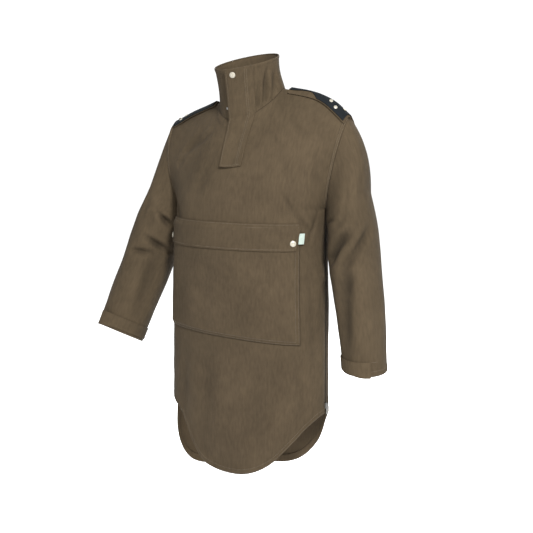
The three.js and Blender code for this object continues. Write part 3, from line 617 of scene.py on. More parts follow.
CLOTH = cloth_material("olive brown cloth", (.0168, .0118, .0063), (.0306, .0218, .0123))
# The inner face is painted lighter than the outer cloth: painted light that makes up for the shade
# inside the tail and sleeves.
INSIDE_PAINTED_LIGHTER = cloth_material("cloth, inner face", (.0310, .0220, .0122), (.0440, .0314, .0184))
# The hem facing is painted lighter still, as painted light against the shade inside the tail.
FACING_PAINTED_LIGHTER = cloth_material("hem facing", (.0330, .0234, .0130), (.0450, .0320, .0186))
THREAD = material("sewing thread", (.048, .036, .022), .8)[0]


# %% Tapes, rubber, metal and label
def small_finish(name, plain, rough, low, high, scale, stretch=EVEN, relief=None, **sockets):
    """Noise from one colour to another on Object coordinates. Its relief is a
    strength, a height and the pitch of a weave or, where that is 0, dimples."""
    made, tree, shader = material(name, plain, rough, **sockets)
    place = tree.nodes.new("ShaderNodeTexCoord").outputs["Object"]
    tree.links.new(blend_colours(tree, spread(tree, place, scale, stretch), low, high),
                   shader.inputs["Base Color"])
    if relief:
        strength, tall, pitch = relief
        height = weave_height(tree, place, pitch) if pitch else node(
            tree, "TexVoronoi", Vector=place, Scale=420.0).outputs["Distance"]
        bump = node(tree, "Bump", Strength=strength, Distance=tall, Height=height)
        tree.links.new(bump.outputs[0], shader.inputs["Normal"])
    return made


GRIP = small_finish("dimpled rubber", (.0030, .0037, .0043), .85, (.0022, .0028, .0033),
                    (.0042, .0052, .0061), 60.0, relief=(.5, .0006, 0), Specular_IOR_Level=.06)
TAPE = small_finish("navy zip tape", (.004, .005, .008), .9, (.003, .004, .006),
                    (.006, .007, .011), 90.0, (1.0, 1.0, .3), (.5, .0004, .0012),
                    Specular_IOR_Level=.08)
STUD = small_finish("cream stud lacquer", (.26, .24, .19), .36, (.115, .106, .083),
                    (.175, .16, .128), 260.0, Metallic=.15, Coat_Weight=.25, Coat_Roughness=.2)
METAL = small_finish("zip metal", (.16, .16, .155), .34, (.12, .12, .115), (.20, .195, .185),
                     500.0, (1.0, 1.0, 6.0), Metallic=.95)
LABEL = small_finish("pale woven label", (.26, .33, .28), .7, (.125, .15, .132),
                     (.15, .176, .157), 240.0, relief=(.4, .0003, .0008), Specular_IOR_Level=.2)
print("materials:", len(bpy.data.materials))


# %% Dressing a piece
def dress(piece, finish, slot, *nodes, inner=None, body="smock"):
    """Finish, place in the frame and the nodes a piece stands for; slot is not used."""
    piece.data.materials.append(finish)
    if inner:
        piece.data.materials.append(inner)
        piece.modifiers["wall"].material_offset = 1
    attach(piece, body)
    if nodes:
        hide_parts(*nodes)
    return piece


def sewn(part, grid, wall, outward, finish=CLOTH, inner=CLOTH, slot="cloth", **facts):
    """The dressed shell of a cut piece, which stands for the node of its name."""
    return dress(shell(part + "_cloth", grid, wall, outward, **facts), finish, slot, part,
                 inner=inner)


def pushed_out(grid, lift, middle, round_about=False):
    """A grid moved along its normals, away from a middle, and the normals' sign."""
    out = normals(grid, round_about)
    sign = int(np.sign(((grid - middle) * out).sum(-1).mean()))
    return grid + out * sign * lift[..., None], sign


# %% [markdown]
# ## Front and back
# Two panels make the body. Each is one wide grid: columns round the side, rows
# from hem to seam, closer together at the hem, where a turned edge shows. The
# front has a slit from the neck for the short zip, and both keep back two
# millimetres from the left side seam below the chest, where the long zip lies.
# %% Body panels
SLIT, SLIT_FOOT, LEFT_COLUMNS = (90.22, 91.53), 1.5, 104
ZIP_TOP, ZIP_FOOT = -335, -790
WALL = 1.6


def panel_grid(face, columns, rows):
    """Outer points of a body panel with its folds and its thicker hem."""
    at, t = np.meshgrid(columns, rows)
    z = body(face, at, t)[..., 2]
    back_off = .75 * ease((ZIP_TOP - z) / 6)
    at = back_off + at * (1 - back_off / 180)
    grid = body(face, at, t)
    up = grid[..., 2] - look(HEMS[face], "z", at)
    fold = body_relief(face, at, t, grid[..., 2])
    rolled = body_hem(up) - .5 * ease((1.2 - up) / 1.2)
    return *pushed_out(grid, fold + rolled, vec(0, MIDDLE_Y, grid[..., 2])), fold


rows = joined((0, .04, 14), (.04, 1, 104), (1, 2, 84))
columns = np.concatenate([np.linspace(0, SLIT[0], LEFT_COLUMNS), np.linspace(SLIT[1], 180, 102)])
grid, out, fold = panel_grid(1, columns, rows)
keep = np.ones((len(rows) - 1, len(columns) - 1), bool)
keep[np.searchsorted(rows, SLIT_FOOT):, LEFT_COLUMNS - 1] = False
sewn("front_body", grid, WALL, out, inner=INSIDE_PAINTED_LIGHTER, keep=keep, fold=fold)

rows = joined((0, .04, 14), (.04, 1, 92), (1, 2, 66))
grid, out, fold = panel_grid(-1, np.linspace(0, 180, 190), rows)
sewn("back_body", grid, WALL, out, inner=INSIDE_PAINTED_LIGHTER, fold=fold)

# %% [markdown]
# ## Sleeves
# Each sleeve is one tube with its seam under the arm. Stiff cloth breaks into
# a few deep bends at the elbow and hangs in long soft ones below it, and the
# turned hem is a little thicker.
# %% Sleeve tubes
turn, share = np.meshgrid(np.linspace(0, 360, 121)[:-1],
                          np.concatenate([np.linspace(0, .96, 132), np.linspace(.963, 1, 14)]))
for side, word in SIDES:
    grid, fold = sleeve(side, turn, share), sleeve_relief(side, turn, share)
    grid, out = pushed_out(grid, fold + sleeve_hem(share), grid.mean(1, keepdims=True), True)
    sewn("sleeve_" + word, grid, WALL, out, inner=INSIDE_PAINTED_LIGHTER, round_about=True, fold=fold)

# %% [markdown]
# ## Collar
# The stand collar is one band from the left edge of the slit round the back to
# the right edge. It is two layers thick at the rim, where the cloth is rolled
# over, and soft upright folds stand behind its left corner.
# %% Collar band
# One running angle: 0 at the front middle on the left, 90 at the left side,
# 180 at the back and 270 at the right side; it ends where the seam's x is 0.
START, END = -.65, 270 + math.degrees(math.acos(NECK_MID / NECK_HALF))
run, w = np.meshgrid(np.linspace(START, END, 200), np.concatenate(
    [np.linspace(0, .93, 32), np.linspace(.94, 1, 8)]))
side, front_half = np.where(run <= 180, 1, -1), (run < 90) | (run > 270)
angle = np.abs(np.where(run <= 180, run - 90, 270 - run))
grid = collar(angle, side, front_half, w)
lift = folds(COLLAR_FOLDS, np.where((side > 0) & front_half, angle, 400), w,
             COLLAR_ROUND_MM, COLLAR_TALL_MM)
lift = lift + waves(run * COLLAR_ROUND_MM, w * COLLAR_TALL_MM, 5, .25)
lift = lift * ease(w / .12) * ease((1 - w) / .1)
lift = lift + 1.0 * ease((w - .9) / .04) - 1.4 * ease((w - .972) / .028) ** 2
lift = lift * ease(np.minimum(run - run.min(), run.max() - run) / 4)
grid, out = pushed_out(grid, lift, grid.mean(1, keepdims=True))
sewn("collar", grid, 2.6, out, fold=lift)

# %% [markdown]
# ## Pieces laid on the front
# The storm flap, the pocket and its flap lie on the front, so each is made from
# the front's own points moved out along its normal. A place is given by how far
# it is across and how high; a bisection finds the column that passes there.
# %% Places on the front
def column_at(x, curve):
    """Bisection for the angle at which the curve's x reaches the given one."""
    low, high = np.full(np.shape(x), 4.0), np.full(np.shape(x), 176.0)
    for _ in range(34):
        half = (low + high) / 2
        beyond = curve(half)[..., 0] > x
        low, high = np.where(beyond, half, low), np.where(beyond, high, half)
    return (low + high) / 2


def on_front(x, z, out=0.0):
    """Point of the folded front below the chest at x and z, moved out."""
    x, z = floats(x, z)
    at = column_at(x, lambda a: ring(a, z))
    away = unit(np.cross(ring(at + .4, z) - ring(at - .4, z), ring(at, z + 2) - ring(at, z - 2)))
    away = away * np.where(away[..., 1:2] > 0, -1, 1)
    relief = body_relief(1, at, np.where(z > CHEST, 1.0, .5), z)
    return ring(at, z) + away * (relief + out)[..., None]


def on_neck_front(x, row):
    """Point of the collar (row 0 to 1, rim to seam) or of the upper front
    (row 1 to 2, seam to 59 % of the way down to the chest)."""
    x, row = floats(x, row)
    near = (NECK_MID - x) / NECK_HALF
    angle = np.degrees(np.arccos(np.clip(np.abs(near), 0, 1)))
    high = collar(angle, np.where(near > 0, -1, 1), True, 1 - np.clip(row, 0, 1))
    v = 1 - np.clip(row - 1, 0, 1) * .59
    at = column_at(x, lambda a: upper(1, a, v))
    return np.where((row < 1)[..., None], high, upper(1, at, v))


def smoothed(grid, times):
    """Mean of each row with its neighbours: takes the corner off a bend."""
    for _ in range(times):
        grid[1:-1] = (grid[:-2] + 2 * grid[1:-1] + grid[2:]) / 4
    return grid


def lifted(grid, height, towards=(0, -1, .2)):
    """A grid moved along its normals, on the side that a direction points to."""
    out = normals(grid)
    sign = int(np.sign((out * towards).sum(-1).mean()))
    return grid + out * sign * np.asarray(height)[..., None], sign


# %% [markdown]
# ## Storm flap
# A doubled strip covers the zip from the rim to the chest. It is sewn along its
# left-hand side on the wearer and free along the other, where it stands off
# the collar and throws a shadow. Its free edge is thick, so it has a real wall.
# %% Storm flap and the tape beneath
FLAP = table("down left right", [(0, -5, 66), (1, -14, 52), (2, -21, 36)])
FLAP_FOLDS = table(FOLD_COLUMNS, [
    (.2, .94, 1, 1.02, 6, 1.6), (.15, .55, .9, .5, 9, 1.2), (.1, 1.4, .85, 1.5, 12, 1.4)])
across, row = np.meshgrid(np.linspace(0, 1, 44), joined((0, 1, 50), (1, 2, 62)))
x = mix(look(FLAP, "left", row), look(FLAP, "right", row), across)
height = mix(6.0, .7, ease(across / .7)) + 2.4 + (
    folds(FLAP_FOLDS, across, row, 66, COLLAR_TALL_MM) + waves(x, row * COLLAR_TALL_MM, 14, .14))
flap_grid, out = lifted(smoothed(on_neck_front(x, row), 4), height)
sewn("storm_flap", flap_grid, 2.2, out, edge=.7)

x, row = np.meshgrid(np.linspace(-9, 15, 9), np.linspace(.03, 1.88, 60))
grid, out = lifted(smoothed(on_neck_front(x, row), 4), -2.6)
sewn("neck_zip_tape", grid, 1.0, out, TAPE, None, "tape")

# %% [markdown]
# ## Pocket
# A wide flat bag crosses the chest, sewn at the sides and the foot. Its edges
# are pressed, so it rises from the front within a finger's width and is flat
# beyond. The flap over its mouth is held by a snap stud at each end.
# %% Pocket and its flap
POCKET_TOP, POCKET_LEFT, POCKET_RIGHT = -342, (177, 183), -199
POCKET_FOOT = (-619, -597)
POCKET_WIDE, POCKET_DEEP = 379, 266
POCKET_FOLDS = table(FOLD_COLUMNS, [
    (60, -400, 40, -560, 26, 1.0), (-40, -420, -70, -590, 30, 1.2),
    (-150, -400, -130, -560, 24, 1.2), (130, -420, 150, -600, 22, 1.2),
    (0, -596, 120, -600, 12, .8)])
LID_TOP, LID_FOOT, LID_LEFT, LID_RIGHT = -322, -388, (178, 170), -200
LID_FOLDS = table(FOLD_COLUMNS, [
    (150, -340, 176, -372, 14, 1.2), (-40, -380, -20, -350, 22, .8),
    (70, -384, 80, -350, 24, .8), (-160, -385, -130, -350, 22, 1.0)])


def on_pocket(across, down):
    """Place on the pocket: its left end slants a little and its foot does too."""
    x = mix(mix(*POCKET_LEFT, down), POCKET_RIGHT, across)
    return x, mix(POCKET_TOP, mix(*POCKET_FOOT, across), down)


across, down = np.meshgrid(joined((0, .06, 12), (.06, .94, 110), (.94, 1, 12)),
                           joined((0, .9, 70), (.9, 1, 18)))
x, z = on_pocket(across, down)
inset = np.minimum(np.minimum(across, 1 - across) * POCKET_WIDE, (1 - down) * POCKET_DEEP)
soft = folds(POCKET_FOLDS, x, z, 1, 1) + waves(x, z, 31, .3)
rise = mix(3.0, 6.6, ease(inset / 12)) + soft * ease(inset / 26) * .8
grid, out = lifted(on_front(x, z, rise - 1.0 * ease((1.2 - inset) / 1.2)), 0)
sewn("pocket_panel", grid, WALL, out)

across, down = np.meshgrid(np.linspace(0, 1, 140), joined((0, .2, 12), (.2, .9, 22), (.9, 1, 8)))
x = mix(mix(*LID_LEFT, down), LID_RIGHT, across)
z = mix(LID_TOP, LID_FOOT, down)
soft = folds(LID_FOLDS, x, z, 1, 1) + waves(x, z, 37, .22)
rise = mix(2.8, 9.2, ease(down / .24)) + soft * ease(down / .3) * .8
grid, out = lifted(on_front(x, z, rise), 0)
sewn("pocket_flap", grid, 2.0, out, edge=.6)

across, down = np.meshgrid(np.linspace(0, 1, 14), np.linspace(0, 1, 30))
curl = 8.4 - .9 * across ** 2 + .5 * np.sin(np.pi * down) * across
grid, out = lifted(on_front(174.6 - 1.2 * down + 9 * across, -345 - 26 * down, curl), 0)
sewn("pocket_tag", grid, .8, out, LABEL, None, "label", edge=.25)

# %% [markdown]
# ## Snap studs
# A snap's cap is pressed sheet metal: a low dome with a rolled rim and a slight
# dimple. It is turned from its profile about the normal of the cloth under it.
# %% Studs
def turned(name, profile, centre, axis, sides=36):
    """Surface of revolution: each (radius, height) of the profile is carried
    round the axis through the centre; the first and last close at a pole."""
    axis = unit(np.asarray(axis, float))
    first = unit(np.cross(axis, [.3, .2, .9]))
    second = np.cross(axis, first)
    angle = np.linspace(0, 2 * np.pi, sides, endpoint=False)
    circle = np.cos(angle)[:, None] * first + np.sin(angle)[:, None] * second
    radius, tall = np.array(profile, float).T
    rings = radius[1:-1, None, None] * circle + (tall[1:-1, None] * axis)[:, None]
    points = np.concatenate([[tall[0] * axis], rings.reshape(-1, 3), [tall[-1] * axis]]) + centre
    count = len(radius) - 2
    quads = grid_faces(count, sides, True) + 1
    k = np.arange(sides)
    low = np.stack([np.zeros(sides, int), 1 + (k + 1) % sides, 1 + k], -1)
    last = 1 + (count - 1) * sides
    high = np.stack([np.full(sides, last + sides), last + k, last + (k + 1) % sides], -1)
    return new_mesh(name, points, low.tolist() + quads.tolist() + high.tolist())


STUD_PROFILE = np.array([
    (0, 0), (.7, 0), (.92, .06), (1, .3), (.97, .6), (.88, .78), (.8, .7), (.74, .72),
    (.6, .9), (.42, 1), (.26, .96), (.12, .84), (0, .8)])


def stud(part, points, lift, size=(7.5, 2.6), towards=(0, -1, 0)):
    """A cap of a radius and a height on a 3 by 3 patch of points: flat foot,
    rolled rim, low dome and a shallow dimple in the middle."""
    out = normals(points)[1, 1]
    out = out * (-1 if np.dot(out, towards) < 0 else 1)
    cap = turned(part + "_cap", STUD_PROFILE * size, points[1, 1] + out * lift, out)
    dress(cap, STUD, "stud", part)


patch = np.meshgrid([-4.0, 0, 4], [-4.0, 0, 4])
for word, x, z in (("left", 164, -369), ("right", -188, -370)):
    stud("pocket_stud_" + word, on_front(x + patch[0], z + patch[1], 9.2), .1)
stud("collar_stud", on_neck_front(16 + patch[0], .12 + patch[1] / 100), 6.2)

# %% [markdown]
# ## Shoulder straps
# A stiff doubled band lies over each shoulder seam, faced with a dimpled
# rubber that keeps a sling from slipping. Three small studs hold its outer end.
# The band bows over the shoulder and stands a little off it.
# %% Straps, their tops and studs
STRAP_STARTS, STRAP_END = {1: .015, -1: .03}, .9
STRAP_LONG = {1: 173, -1: 158}
STRAP_RISE, GRIP_RISE, STUD_RISE = 4.6, 7.3, 7.4
GRIP_FRONT = table("along across", [
    (0, -1), (.42, -1), (.56, -.12), (.66, -.12), (.82, -.4), (1, -.4)])
STRAP_STUDS = ((.25, -.28), (.165, -.56), (.08, 0))


def strap_bed(side, along, across):
    """Points of the body under a strap. Across goes from -1 at the front edge
    to 1 at the back one; a bisection goes down the column until its y is that
    far from the seam's."""
    along, across = floats(along, across)
    at = look({name: COLUMNS[name] for name in ("shoulder", "at")}, "at", along)
    at = at if side > 0 else 180 - at
    wide = np.where(across < 0, mix(23, 14, ease(along / .5)), 30) * np.abs(across)
    points = []
    for face in (1, -1):
        seam = upper(face, at, 1.0)[..., 1]
        low, high = floats(.5, 1 + 0 * at)
        for _ in range(24):
            half = (low + high) / 2
            far = np.abs(upper(face, at, half)[..., 1] - seam) > wide
            low, high = np.where(far, half, low), np.where(far, high, half)
        points.append(upper(face, at, high))
    return np.where((across < 0)[..., None], *points)


for side, word in SIDES:
    start = STRAP_STARTS[side]
    along, across = np.meshgrid(np.linspace(start, STRAP_END, 80), np.linspace(-1, 1, 45))
    grid, out = lifted(smoothed(strap_bed(side, along, across), 2), STRAP_RISE, UP)
    sewn("shoulder_strap_" + word, grid, 2.2, out, edge=.7)
    trim = 4 / STRAP_LONG[side]
    along, share = np.meshgrid(np.linspace(start + trim, STRAP_END - trim, 90),
                               np.linspace(0, 1, 40))
    edge = np.maximum(look(GRIP_FRONT, "across", along), -.92) if side > 0 else -.98
    bed = smoothed(strap_bed(side, along, mix(edge, .86, share)), 2)
    grid, out = lifted(bed, GRIP_RISE, UP)
    grip = shell(f"shoulder_grip_{word}_top", grid, 1.9, out, edge=.5)
    dress(grip, GRIP, "grip", f"shoulder_grip_{word}")
    for k, (a, b) in enumerate(STRAP_STUDS):
        points = strap_bed(side, a + start + patch[0] / 200, b + patch[1] / 40)
        stud(f"strap_stud_{word}_{k + 1}", points, STUD_RISE, (4.7, 2.0), UP)

# %% [markdown]
# ## Cuff tabs
# A tab runs round the front of each cuff and ends square. It is the sleeve's
# surface moved out by the cloth below it, so it follows every bend.
# %% Cuff tabs
TABS = {1: (.992, .93, -50, 122), -1: (.985, .912, -70, 112)}


def on_sleeve(side, turn, share, out=0.0):
    """Point of the folded sleeve, moved out along its normal."""
    turn, share = floats(turn, share)
    along = sleeve(side, turn, np.minimum(share + .004, 1)) - sleeve(side, turn, share - .004)
    away = -side * unit(np.cross(
        sleeve(side, turn + 1, share) - sleeve(side, turn - 1, share), along))
    lift = sleeve_relief(side, turn, share) + sleeve_hem(share) + out
    return sleeve(side, turn, share) + away * lift[..., None]


for side, word in SIDES:
    low, high, start, end = TABS[side]
    turn, share = np.meshgrid(np.linspace(start, end, 80), np.linspace(low, high, 14))
    middle, wrist = (sleeve(side, np.linspace(0, 360, 25), k).mean(0) for k in (.9, 1.0))
    grid = on_sleeve(side, turn, share, 3.0 + 3.4 * ease((turn - end + 40) / 40))
    drop = 7.0 * ease((turn - 50) / 60) * (share - high) / (low - high)
    grid = grid + unit(wrist - middle) * drop[..., None]
    out = int(np.sign(((grid - middle) * normals(grid)).sum(-1).mean()))
    sewn("cuff_tab_" + word, grid, 2.0, out, edge=.6)

# %% [markdown]
# ## The side zip
# A long zip opens the left side from the chest to the hem, to get at pockets
# beneath. Its navy tape lies inside, its coil fills the gap between the two
# panels, and the slider rests at the foot with its pull hanging down.
# %% Tape, coil, slider and pull
at, z = np.meshgrid(np.linspace(-5, 5, 13), np.linspace(ZIP_TOP, ZIP_FOOT, 110))
grid, out = lifted(ring(at, z), -2.9, LEFT)
sewn("side_zip_tape", grid, 1.0, out, TAPE, None, "tape")


def beads(name, centres, along, out, size, sides=6):
    """One small bead at each centre: two rings of points between two tips,
    carried to all centres as one array."""
    long, wide, tall = size
    along, out = (np.broadcast_to(k, centres.shape) for k in (along, out))
    along, out = unit(along), unit(out - along * (out * along).sum(-1, keepdims=True))
    across = np.cross(along, out)
    angle = np.linspace(0, 2 * np.pi, sides, endpoint=False)
    place, wide_at = np.array([(-.5, 0), (-.36, .8), (.36, .8), (.5, 0)]).T
    shape = (centres[:, None, None] + along[:, None, None] * (place[:, None, None] * long)
             + across[:, None, None] * (wide_at[:, None] * np.cos(angle) * wide / 2)[..., None]
             + out[:, None, None] * (wide_at[:, None] * np.sin(angle) * tall / 2)[..., None])
    count = len(centres)
    faces = grid_faces(4, sides, True)[:, ::-1]
    faces = (faces[None] + (np.arange(count) * 4 * sides)[:, None, None]).reshape(-1, 4)
    return new_mesh(name, shape.reshape(-1, 3), faces)


COIL_STEP = 1.9
z = np.arange(-338, -786, -COIL_STEP)
centres = ring(0, z) + vec(-.6, .9 * (-1) ** np.arange(len(z)), 0 * z)
dress(beads("side_zip_coil", centres, (0, 1, .25), LEFT, (3.0, 1.5, 1.7)), TAPE, "tape")
z = np.arange(98, -150, -COIL_STEP)
spots = on_neck_front(3.0, np.interp(z, [-150, -55, 98], [1.7, 1.0, .04])[::-1])
down = np.gradient(spots, axis=0)
outs = unit(np.cross(down, LEFT))
outs = outs * np.where(outs[:, 1:2] > 0, -1, 1)
dress(beads("neck_zip_coil", spots - outs * 1.7, np.cross(down, outs), outs, (3.2, 1.4, 1.5)),
      TAPE, "tape")


def swept(name, outline, low, high, order=(0, 1, 2)):
    """A closed outline of (across, up) points carried from low to high, with a
    cap on both ends; order puts its coordinates on other axes."""
    across, up = np.array(outline, float).T
    grid = np.concatenate([vec(across, up, low), vec(across, up, high)])[:, order]
    count = len(across)
    k = np.arange(count)
    sides = np.stack([k, (k + 1) % count, count + (k + 1) % count, count + k], -1)
    caps = [k[::-1].tolist(), (count + k).tolist()]
    thing = new_mesh(name, grid, sides.tolist() + caps, smooth=False)
    bevel = thing.modifiers.new("edges", "BEVEL")
    bevel.width, bevel.segments = .25 * MM, 2
    return thing


SLIDER = [(219.6, -4.6), (225.6, -4.6), (225.6, -3.4), (222.2, -3.4), (222.2, 3.4),
          (225.6, 3.4), (225.6, 4.6), (219.6, 4.6)]
slider = swept("side_zip_slider_body", SLIDER, -784, -771)
dress(slider, METAL, "zip_metal", "side_zip_slider")
PULL_X, PULL_HALF, PULL_TOP, PULL_FOOT = 223.5, .8, -774, -798
tab = [(PULL_X + way * PULL_HALF * np.cos(a), z + way * PULL_HALF * np.sin(a))
       for way, z in ((1, PULL_TOP), (-1, PULL_FOOT)) for a in np.radians(np.linspace(0, 180, 9))]
pull = swept("side_zip_pull_tab", tab, 3, -3, (0, 2, 1))
dress(pull, METAL, "zip_metal", "side_zip_pull", body="zip_pull")

# slider of the neck zip: a flat body with its pull turned under the flap
across, w = np.meshgrid(np.linspace(0, 1, 24), np.linspace(0, 1, 12))
row = 1 - (.225 + (w - .5) * np.where(across > .72, .13, .045))
grid, out = lifted(on_neck_front(mix(-23, 7, across), row), 2.1 + .3 * np.sin(np.pi * w))
neck_slider = shell("neck_zip_slider_body", grid, 1.6, out, edge=.4)
dress(neck_slider, METAL, "zip_metal", "neck_zip_slider")

# %% [markdown]
# ## Hem facing
# The back's hem is faced with a strip turned up inside. It is the same cloth
# seen from its brushed side, and it shows where the tail swings out. Its
# colour is painted lighter, as painted light against the shade in the tail.
# %% Facing
at, rise = np.meshgrid(np.linspace(4, 176, 220), np.linspace(.0024, .03, 12))
z = mix(look(HEMS[-1], "z", at), CHEST, rise)
base = ring(-at, z)
away = unit(np.cross(ring(-at - .4, z) - ring(-at + .4, z), vec(0, 0, 1) + 0 * base))
away = turned_to(away, base - vec(0, 0, z))
grid = base + away * (body_relief(-1, at, rise, z) - 2.3)[..., None]
out = int(np.sign((normals(grid) * away).sum(-1).mean()))
sewn("back_hem_facing", grid, 1.1, out, FACING_PAINTED_LIGHTER, FACING_PAINTED_LIGHTER)

# %% [markdown]
# ## Seams and stitches
# A seam of proofed cloth is felled: one edge is folded over the other and
# stitched twice, which leaves a low welt. Each welt is a narrow strip over the
# seam. Each stitch is one small bead of thread, laid along a curve at equal
# steps, so the rows can be counted as on the real garment.
# %% Welts
def on_body(face, at, t, out=0.0):
    """Point of a folded body panel, moved out along its normal."""
    at, t = floats(at, t)
    point = body(face, at, t)
    across = body(face, np.minimum(at + .4, 180), t) - body(face, np.maximum(at - .4, 0), t)
    along = body(face, at, np.minimum(t + .004, 2)) - body(face, at, np.maximum(t - .004, 0))
    z = point[..., 2]
    away = turned_to(unit(np.cross(across, along)), point - vec(0, MIDDLE_Y, z))
    lift = body_relief(face, at, t, z) + body_hem(z - look(HEMS[face], "z", at)) + out
    return point + away * lift[..., None], away


def welt(name, face, edge_at, inner_at, t, tall=.9):
    """Strip of the body from one angle towards another, sunk at both sides:
    its height is tall times the plateau of two eased steps. Dresses the strip
    and lays two rows of stitches along it."""
    edge, inner = (on_body(face, at, t)[0] for at in (edge_at, inner_at))
    inward = unit(inner - edge)
    middle = vec(0, MIDDLE_Y, edge[:, 2].mean())
    out = turned_to(unit(np.cross(np.gradient(edge, axis=0), inward)), edge - middle)
    s = np.concatenate([[0, .02, .06, .12], np.linspace(.2, .8, 5), [.88, .94, .98, 1]])
    height = tall * ease(s / .1) * ease((1 - s) / .1)
    height = height - .5 * (1 - ease(s / .06) * ease((1 - s) / .06))
    grid = (edge[:, None] + inward[:, None] * (s * WELT_WIDE)[None, :, None]
            + out[:, None] * height[None, :, None])
    sign = int(np.sign((normals(grid) * out[:, None]).sum(-1).mean()))
    faces = grid_faces(*grid.shape[:2])
    strip = new_mesh(name, grid.reshape(-1, 3), faces[:, ::sign], cloth_uv(grid).reshape(-1, 2))
    seams.append(dress(strip, CLOTH, "cloth"))
    for share in (.22, .8):
        seam_rows.append((edge + inward * WELT_WIDE * share + out * (tall + .05), out))


WELT_WIDE = 9
seam_rows, seams = [], []
for side, word in SIDES:
    edge_at, inner_at = (.12, 5.0) if side > 0 else (179.88, 175.0)
    for face, part in ((1, "front"), (-1, "back")):
        welt(f"armhole_welt_{part}_{word}", face, edge_at, inner_at,
             np.linspace(1.0, 1.985, 110), 1.5)
welt("side_welt_right", -1, 179.9, 174.0, np.linspace(.02, .995, 200))

# %% Rows of stitches
# both hems and the panels' edges along the side zip
at = np.linspace(1.5, 178.5, 500)
for face in (1, -1):
    for up in (3.0, 12.5):
        seam_rows.append(on_body(face, at, up / (CHEST - look(HEMS[face], "z", at)), .2))
for face in (1, -1):
    for at in (2.4, 4.2):
        seam_rows.append(on_body(face, at, np.linspace(.02, .86, 300), .2))
# two round each cuff and a short one above the tab's end
for side in (1, -1):
    for share, start, end in ((.973, 4, 356), (.994, 4, 356), (.93, 126, 146)):
        turn = np.linspace(start, end, 160)
        line = on_sleeve(side, turn, share)
        grow = turned_to(on_sleeve(side, turn, share, 1) - line, line - line.mean(0))
        seam_rows.append((line + grow * .2, grow))
# pocket: both sides and the foot
for inset, up in ((3.0, 3.9), (9.0, 6.3)):
    a, b = inset / POCKET_WIDE, 1 - inset / POCKET_DEEP
    for across, down in ((a, np.linspace(.17, b, 200)), (1 - a, np.linspace(.17, b, 200)),
                         (np.linspace(a, 1 - a, 300), b)):
        seam_rows.append((on_front(*on_pocket(across, down), up), None))
# its flap: two along the seam, one along the foot and one at each end
for left, right, z, up in ((175, -197, -324.5, 3.4), (175, -197, -331.0, 6.4),
                           (167, -196, -383.5, 9.45)):
    seam_rows.append((on_front(np.linspace(left, right, 300), z, up), None))
z = np.linspace(-328, -382, 40)
for top, foot in ((174.5, 167), (-196, -196)):
    x = mix(top, foot, (LID_TOP - z) / (LID_TOP - LID_FOOT))
    seam_rows.append((on_front(x, z, np.linspace(7.2, 9.45, 40)), None))
# storm flap: two down its sewn edge, one down the free edge, one at the foot
for line in (flap_grid[2:-1, 31], flap_grid[2:-1, 34], flap_grid[2:-1, 3], flap_grid[-3, 2:-2]):
    seam_rows.append((line + vec(0, -.2, 0), None))


def stitched(name, rows, long=2.6, gap=1.1):
    """Beads of thread at equal steps along each curve, joined in one mesh."""
    beads_of = []
    for line, out in rows:
        run = np.append(0, np.cumsum(np.linalg.norm(np.diff(line, axis=0), axis=1)))
        at = np.arange(long, run[-1] - long, long + gap)
        if out is None:
            out = vec(0, -1, 0) + (line - vec(0, MIDDLE_Y, line[:, 2])) * .008
        middle, ahead, up = (np.stack([np.interp(where, run, k) for k in values.T], -1)
                             for where, values in ((at, line), (at + .5, line), (at, out)))
        beads_of.append((middle, ahead - middle, up))
    middles, alongs, outs = map(np.concatenate, zip(*beads_of))
    print(name, len(middles), "stitches")
    return beads(name, middles, alongs, outs, (long, .7, .5), 4)


thread = dress(stitched("stitching", seam_rows), THREAD, "cloth")


def cut(part, wide, long, rests_on=None, **facts):
    """Takes a sheet's flat width and length in mm, which are not used; it declares nothing."""
    if rests_on:
        facts["rests_on"] = [under + "_cloth" for under in rests_on]


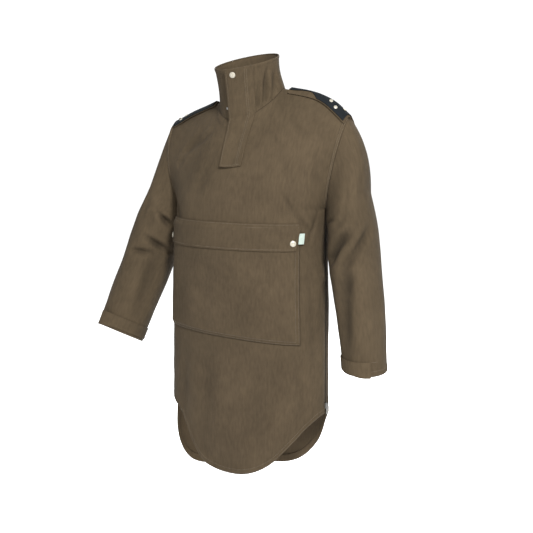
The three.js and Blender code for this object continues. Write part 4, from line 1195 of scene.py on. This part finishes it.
BODY = ["front_body", "back_body"]
cut("front_body", 720, 960, with_pieces=[k for k in seams if "front" in k.name] + [thread])
cut("back_body", 700, 1010, with_pieces=[k for k in seams if "front" not in k.name])
cut("sleeve_left", 540, 660)
cut("sleeve_right", 540, 660)
cut("collar", 520, 145)
cut("storm_flap", 75, 270, ["front_body", "collar"])
cut("pocket_panel", 450, 290, ["front_body"])
cut("pocket_flap", 460, 70, ["pocket_panel"])
cut("cuff_tab_left", 210, 42, ["sleeve_left"])
cut("cuff_tab_right", 210, 42, ["sleeve_right"])
cut("shoulder_strap_left", 82, 176, BODY)
cut("shoulder_strap_right", 74, 160, BODY)
cut("back_hem_facing", 22, 722, ["back_body"])
cut("neck_zip_tape", 25, 228, ["front_body", "collar"])
cut("side_zip_tape", 24, 458, BODY)
cut("pocket_tag", 15, 27, ["pocket_flap"])

# %% [markdown]
# ## Floor and light
# The photograph is a plain white studio shot. A white world gives the even
# light, a lamp from the front on the wearer's left makes the form, a weak one
# fills the front, another lights the back, and a pale floor lies below.
# %% Stage
FLOOR_HALF, FLOOR_Z = 30, -1.52
floor_mesh = bpy.data.meshes.new("floor")
floor_mesh.from_pydata([(x * FLOOR_HALF, y * FLOOR_HALF, FLOOR_Z) for x, y in (
    (-1, -1), (1, -1), (1, 1), (-1, 1))], [], [(0, 1, 2, 3)])
floor_mesh.materials.append(material("pale floor", (.92, .92, .92), .9)[0])
placed("floor", floor_mesh)

world = bpy.data.worlds.new("white studio")
world.use_nodes = True
background = world.node_tree.nodes["Background"].inputs
background["Color"].default_value = (1, 1, 1, 1)
background["Strength"].default_value = 1.12
bpy.context.scene.world = world
bpy.context.scene.view_settings.view_transform = "Standard"


def lamp(name, place, aim, size, power):
    """A square soft lamp that looks from its place to the aim."""
    data = bpy.data.lights.new(name, "AREA")
    data.size, data.energy = size, power
    thing = placed(name, data)
    thing.location = place
    x, y, z = unit(np.subtract(aim, place))
    thing.rotation_euler = (math.acos(-z), 0, math.atan2(y, x) - math.pi / 2)


lamp("main light", (2.85, -2.8, 2.4), (0, 0, -.4), .7, 850)
lamp("fill light", (.6, -3.9, 1.1), (0, 0, -.5), 1.6, 100)
lamp("back light", (-1.0, 3.8, 1.9), (0, 0, -.5), 2.4, 330)
